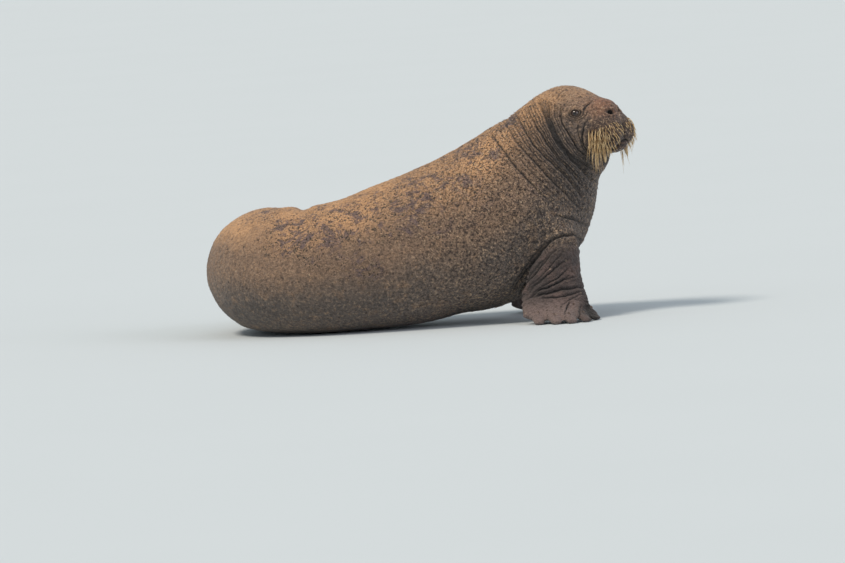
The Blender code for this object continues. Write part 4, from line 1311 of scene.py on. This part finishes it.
def coat_locks(spots, normals, lie, on_head, draw):
    """The four points of each lock, and a lock's faces in the order that turns them outward."""
    lie = unit(lie * (1 - on_head)[:, None] - HEAD_AXES[0] * on_head[:, None] + (0, 0, -0.35))
    lie = lie + draw.normal(0, 0.22, lie.shape)
    lie = unit(lie - (lie * normals).sum(1, keepdims=True) * normals)
    across = np.cross(normals, lie)
    size = draw.uniform(0.65, 1.2, len(spots)) * (1 - 0.45 * on_head)
    long_way, wide, up = (v * size[:, None] for v in (lie * LOCK_LENGTH, across * LOCK_WIDTH / 2, normals))
    lift = LOCK_LIFT * draw.uniform(0.3, 1.0, (len(spots), 1))
    root = spots - normals * 0.0007
    points = [root + wide, root - wide, root + up * 0.0011 + long_way * 0.25, spots + long_way + up * lift]
    inward = (np.cross(across, lie) * normals).sum(1).mean() > 0
    return np.stack(points, 1), LOCK_FACES[:, ::-1] if inward else LOCK_FACES


def make_coat(skin, draw):
    """Short flat locks that lie from neck to tail and down, in a few pieces, with the skin's marks."""
    spots, normals, marks_and_painted_light, zones = coat_roots(skin, draw)
    along, turn, _, lie = torso_place(spots - SHIFT)
    on_head = ramp(0.02, -0.03, head_distance(spots - SHIFT) - torso(spots - SHIFT))
    points, shape = coat_locks(spots, normals, lie, on_head, draw)
    splits = np.quantile(along, np.linspace(0, 1, COAT_PIECES + 1))
    piece = np.clip(np.searchsorted(splits, along, "right") - 1, 0, COAT_PIECES - 1)
    for i, (start, end) in enumerate(zip(splits, splits[1:])):
        held = piece == i
        faces = (shape[None] + 4 * np.arange(held.sum())[:, None, None]).reshape(-1, 3)
        mesh = mesh_of(f"coat_{i}", points[held].reshape(-1, 3), faces)
        across = (along[held] - start) / (end - start)
        bake_patches(mesh, 0.02 + 0.96 * np.column_stack([across, turn[held]]), 4)
        set_layer(mesh, "marks_and_painted_light", np.repeat(marks_and_painted_light[held], 4, 0))
        set_layer(mesh, "zones", np.repeat(zones[held], 4, 0))
        yield mesh


def dress():
    """Makes every piece of the model."""
    draw = np.random.default_rng(11)
    skin_mesh = wrinkled(smooth_skin())
    flesh = [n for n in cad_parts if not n.startswith(("eye", "tusk"))]
    finished("skin", skin_mesh, hide_finish("walrus_hide"), "hide", *flesh)
    hair = hide_finish("flat_coat", coat=True)
    for name, mesh in zip(("hips", "back", "shoulders"), make_coat(skin_mesh, draw)):
        finished(f"coat_{name}", mesh, hair, "hide")
    wet, ivory, bristle = eye_finish(), tusk_finish(), whisker_finish()
    for side, name in ((-1, "left"), (1, "right")):
        finished(f"eyeball_{name}", make_eye(side, name), wet, "eye", f"eye_{name}")
        finished(f"ivory_{name}", make_tusk(side, name), ivory, "tusk", f"tusk_{name}")
        finished(f"whiskers_{name}", make_whiskers(side, name, draw), bristle, "whisker")
    finished("nails", make_nails(), nail_finish(), "flipper_hide")


def sun(name, toward, strength, width, colour):
    """Light from one direction, as wide in the sky as its degrees."""
    light = bpy.data.lights.new(name, "SUN")
    light.energy = strength
    light.angle = math.radians(width)
    light.color = linear(colour)[:3]
    obj = shown(name, light)
    obj.rotation_mode = "QUATERNION"
    obj.rotation_quaternion = Vector(toward).to_track_quat("Z", "Y")


def floor_finish():
    """Plain pale matt board with a hardly seen unevenness."""
    made, tree, place = new_finish("matt_pale_floor")
    uneven = put(tree, "ShaderNodeTexNoise", {"Vector": place, "Scale": 0.7, "Detail": 2.0})
    colour = layered(tree, "#c5ced3", [(uneven, None, 1.0, "#c7d0d5")])
    return surfaced(made, {"Base Color": colour, "Roughness": 0.8})


def studio():
    """A plain pale floor, an even sky, a sun high on the tail's side and a low wide light from ahead."""
    corners = [(-60, -60, 0), (60, -60, 0), (60, 60, 0), (-60, 60, 0)]
    floor = shown("floor", mesh_of("floor", corners, [(0, 1, 2, 3)]))
    floor.data.materials.append(floor_finish())

    world = bpy.data.worlds.new("pale")
    bpy.context.scene.world = world
    world.use_nodes = True
    sky = world.node_tree.nodes["Background"].inputs
    sky[0].default_value = linear("#dfe6ea")
    sky[1].default_value = 0.66
    sun("high_sun", (-0.45, -0.34, 0.82), 2.3, 16, "#fff2e2")
    sun("low_fill", (0.75, -0.55, 0.35), 0.8, 40, "#fbf6ff")
    bpy.context.scene.view_settings.view_transform = "Standard"


def frame_camera():
    """The photograph's frame, seen from far off and a little above."""
    across = (PHOTO_WIDTH / 2 - VIEW_X) * STEP
    high = (VIEW_Z - PHOTO_HEIGHT / 2) * STEP
    centre = placed([(across, 0, high / math.cos(VIEW_TILT))])[0] + SHIFT
    reach = 30.0
    camera = bpy.data.cameras.new("camera")
    camera.sensor_width = 36.0
    camera.lens = camera.sensor_width * reach / (PHOTO_WIDTH * STEP)
    camera.clip_end = 400.0
    obj = shown("camera", camera)
    turn = Matrix((VIEW_RIGHT, VIEW_UP, VIEW_BACK)).transposed()
    obj.matrix_world = Matrix.Translation(Vector(centre + VIEW_BACK * reach)) @ turn.to_4x4()
    bpy.context.scene.camera = obj


frame_camera()
studio()
dress()
bpy.context.view_layer.update()
